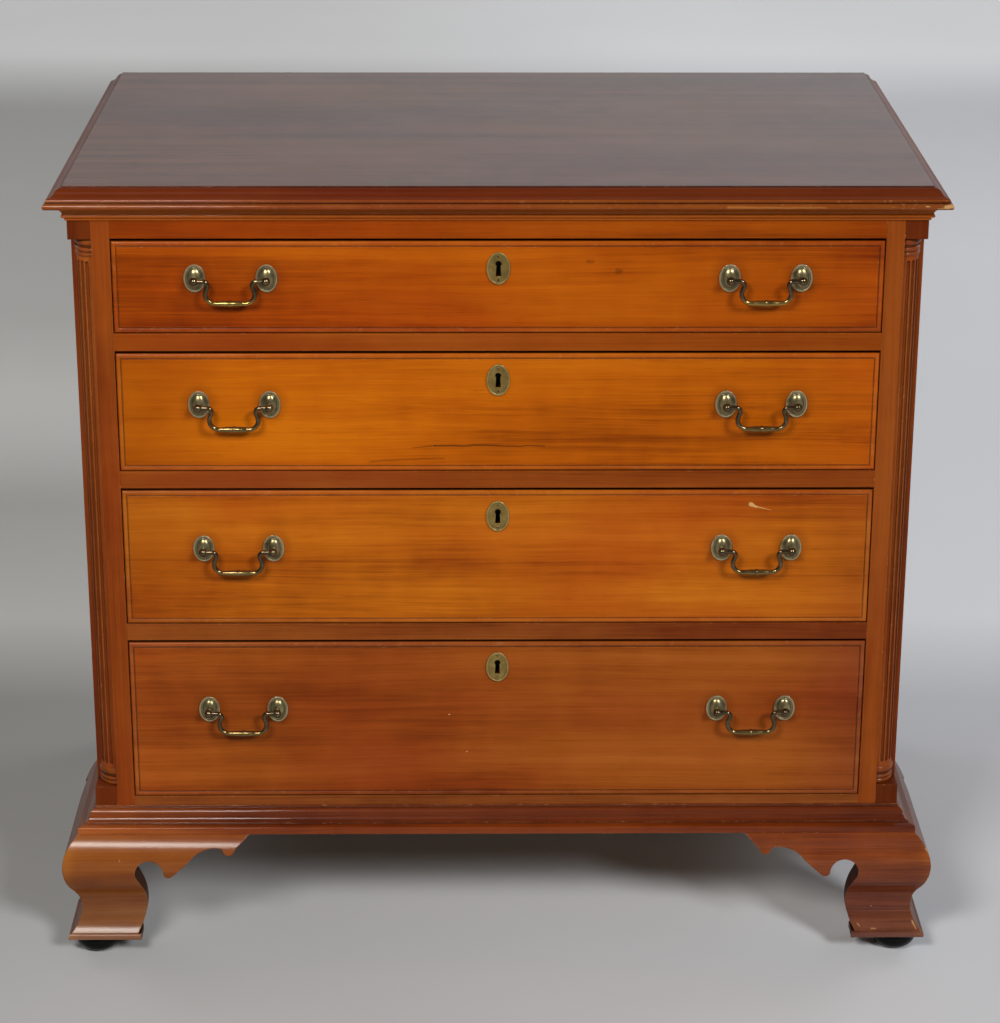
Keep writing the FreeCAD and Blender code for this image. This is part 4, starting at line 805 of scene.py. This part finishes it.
steel = iron("nail_iron", (0.10, 0.085, 0.07), 0.45)
PLATE_FACE, PIN_RISE = 0.0013, 0.0134
SCREW_REACH, SCREW_LOW, SCREW_HIGH = 0.026, 0.008, 0.012
BRAD_COUNT, BRAD_SPREAD = 5, 0.9
NAIL_SHARES, NAIL_INSET = (0.16, 0.5, 0.84), 0.005
RISE_SCATTER, SIDE_SCATTER = 0.006, 0.001
spins = random.Random(71)
for drawer in DRAWERS:
    low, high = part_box(f"{drawer}_lock")
    pins = []
    for rise in (PIN_RISE, -PIN_RISE):
        pins.append(((0, front_plane - PLATE_FACE, plate_middle(drawer) + rise), spins.uniform(0, 6)))
    fitting(f"{drawer}_plate_pins", brass_pin, pins, (0, -1, 0), drawer, post_brass)
    screws = []
    for z in (low.z + SCREW_LOW, high.z - SCREW_HIGH):
        for x in (-SCREW_REACH, SCREW_REACH):
            screws.append(((x, high.y, z), spins.uniform(0, 3)))
    fitting(f"{drawer}_lock_screws", slotted_screw, screws, (0, 1, 0), drawer, lock_iron)
    floor_low, floor_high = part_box(f"{drawer}_bottom")
    rear_low, rear_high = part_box(f"{drawer}_back")
    brads = []
    for step in range(BRAD_COUNT):
        x = (floor_low.x + (floor_high.x - floor_low.x) * step / (BRAD_COUNT - 1)) * BRAD_SPREAD
        brads.append(((x, (rear_low.y + rear_high.y) / 2, floor_low.z), spins.uniform(0, 3)))
    fitting(f"{drawer}_bottom_nails", nail_head, brads, (0, 0, -1), drawer, steel)

board = (back_high.z - back_low.z) / BOARD_COUNT
nails = []
for row in range(BOARD_COUNT):
    for share in NAIL_SHARES:
        for x in (back_low.x + NAIL_INSET, back_high.x - NAIL_INSET):
            z = back_low.z + board * (row + share) + spins.uniform(-RISE_SCATTER, RISE_SCATTER)
            aside = x + spins.uniform(-SIDE_SCATTER, SIDE_SCATTER)
            nails.append(((aside, back_plane, z), spins.uniform(0, 3)))
fitting("back_board_nails", nail_head, nails, (0, 1, 0), "case", steel)

# stage
FLOOR_REACH = 14
floor_mesh = bpy.data.meshes.new("floor")
grid = bmesh.new()
bmesh.ops.create_grid(grid, x_segments=8, y_segments=8, size=FLOOR_REACH)
grid.to_mesh(floor_mesh)
grid.free()
floor = bpy.data.objects.new("floor", floor_mesh)
bpy.context.scene.collection.objects.link(floor)


def floor_material():
    """Pale seamless paper with painted shade on the left and painted light far back, faintly mottled."""
    shade = Shade("pale_floor")
    place = shade.node("TexCoord", output="Object")
    x, y = shade.split(place)[:2]
    mottle = shade.blend(1.0, shade.noise(place, (1.2, 1.2, 1.2), 4, 0.5), 0.10)
    depth = shade.node("MapRange", {0: y, 1: -1.0, 2: 6.0, 3: 0.0, 4: 1.0})
    # painted shade darkens the left, most beside the chest; painted light brightens a far band
    left = shade.tones(depth, [
        (0.08, (0.405, 0.412, 0.42)), (0.16, (0.375, 0.382, 0.375)), (0.20, (0.375, 0.382, 0.375)),
        (0.24, (0.73, 0.735, 0.72)), (0.45, (0.455, 0.452, 0.437)), (0.71, (0.465, 0.463, 0.45)),
        (0.80, (0.70, 0.70, 0.70))])
    right = shade.tones(depth, [
        (0.08, (0.61, 0.63, 0.665)), (0.16, (0.63, 0.65, 0.685)), (0.20, (0.64, 0.66, 0.695)),
        (0.24, (0.88, 0.895, 0.935)), (0.45, (0.775, 0.787, 0.825)), (0.71, (0.80, 0.812, 0.855)),
        (0.80, (0.84, 0.85, 0.87))])
    body = shade.mix(shade.ramp(x, -0.85, 0.85), left, right)
    body = shade.vector("SCALE", body)
    shade.tree.links.new(mottle, body.node.inputs["Scale"])
    grain = shade.noise(place, (220, 220, 220), 2, 0.5)
    normal = shade.bump(grain, 0.05, 0.0004, shade.node("NewGeometry", output="Normal"))
    # painted light: the far floor glows for the camera only
    seen = shade.node("LightPath", output="Is Camera Ray")
    painted_glow = shade.math("MULTIPLY", shade.ramp(depth, 0.69, 0.82, 0.0, 0.20), seen)
    return shade.surface(Base_Color=body, Roughness=0.75, Normal=normal, Specular_IOR_Level=0.2,
                         Emission_Color=body, Emission_Strength=painted_glow)


floor_mesh.materials.append(floor_material())


def softbox(name, place, target, width, height, power, tint=(1, 1, 1)):
    """Rectangular lamp that faces a point."""
    lamp = bpy.data.lights.new(name, "AREA")
    lamp.shape = "RECTANGLE"
    lamp.size = width
    lamp.size_y = height
    lamp.energy = power
    lamp.color = tint
    holder = bpy.data.objects.new(name, lamp)
    holder.location = place
    holder.rotation_euler = (Vector(target) - Vector(place)).to_track_quat("-Z", "Y").to_euler()
    bpy.context.scene.collection.objects.link(holder)


softbox("left_light", (-0.85, -2.25, 2.15), (0, 0, 0.40), 0.8, 0.6, 47, (1.0, 0.95, 0.88))
softbox("rear_left_light", (-3.0, 2.0, 2.2), (0, 0, 0.5), 1.6, 1.4, 20)
softbox("rear_right_light", (3.0, 2.0, 2.2), (0, 0, 0.5), 1.6, 1.4, 24)
key = bpy.data.lights.new("key_light", "SUN")
key.energy = 1.9
key.angle = math.radians(13)
key_holder = bpy.data.objects.new("key_light", key)
key_holder.rotation_euler = Vector((-1.0, 1.25, -1.05)).to_track_quat("-Z", "Y").to_euler()
bpy.context.scene.collection.objects.link(key_holder)

room = Shade("studio", bpy.data.worlds.new("studio"))
bpy.context.scene.world = room.owner
heading = room.split(room.node("TexCoord", output="Generated"))
behind = room.ramp(heading[1], -0.35, 0.6)
backdrop = room.mix(room.ramp(heading[0], -0.22, 0.22), (0.43, 0.42, 0.415, 1), (0.60, 0.60, 0.61, 1))
sky = room.mix(behind, (0.12, 0.12, 0.124, 1), backdrop)
path = room.tree.nodes.new("ShaderNodeLightPath").outputs
mirrored = room.math("MAXIMUM", path["Is Camera Ray"], path["Is Glossy Ray"])
light = room.node("Background", {0: sky, 1: room.ramp(mirrored, 0.0, 1.0, 0.42, 1.0)})
room.tree.links.new(light, room.tree.nodes.new("ShaderNodeOutputWorld").inputs[0])

# camera, as fitted to the photograph's frame of 1000 by 1023 pixels
camera_data = bpy.data.cameras.new("camera")
camera = bpy.data.objects.new("camera", camera_data)
bpy.context.scene.collection.objects.link(camera)
bpy.context.scene.camera = camera
PITCH, YAW, ROLL = math.radians(19.11), math.radians(0.70), math.radians(0.17)
FOCAL_PIXELS, CENTRE_Y = 2734.8, 380.0
IMAGE_HEIGHT, SENSOR = 1023, 36
STAND = (-0.0327, front_plane - 2.8411, 1.6867)
ahead = Vector((math.sin(YAW) * math.cos(PITCH), math.cos(YAW) * math.cos(PITCH), -math.sin(PITCH)))
right = Vector((math.cos(YAW), -math.sin(YAW), 0))
upward = right.cross(ahead)
turned_right = right * math.cos(ROLL) + upward * math.sin(ROLL)
turned_up = upward * math.cos(ROLL) - right * math.sin(ROLL)
camera.matrix_world = Matrix((
    (turned_right.x, turned_up.x, -ahead.x, STAND[0]),
    (turned_right.y, turned_up.y, -ahead.y, STAND[1]),
    (turned_right.z, turned_up.z, -ahead.z, STAND[2]),
    (0, 0, 0, 1),
))
camera_data.sensor_width = SENSOR
camera_data.lens = FOCAL_PIXELS * SENSOR / IMAGE_HEIGHT
camera_data.shift_y = (CENTRE_Y - IMAGE_HEIGHT / 2) / IMAGE_HEIGHT
camera_data.dof.use_dof = False
camera_data.clip_end = 100
bpy.context.scene.view_settings.view_transform = "Standard"
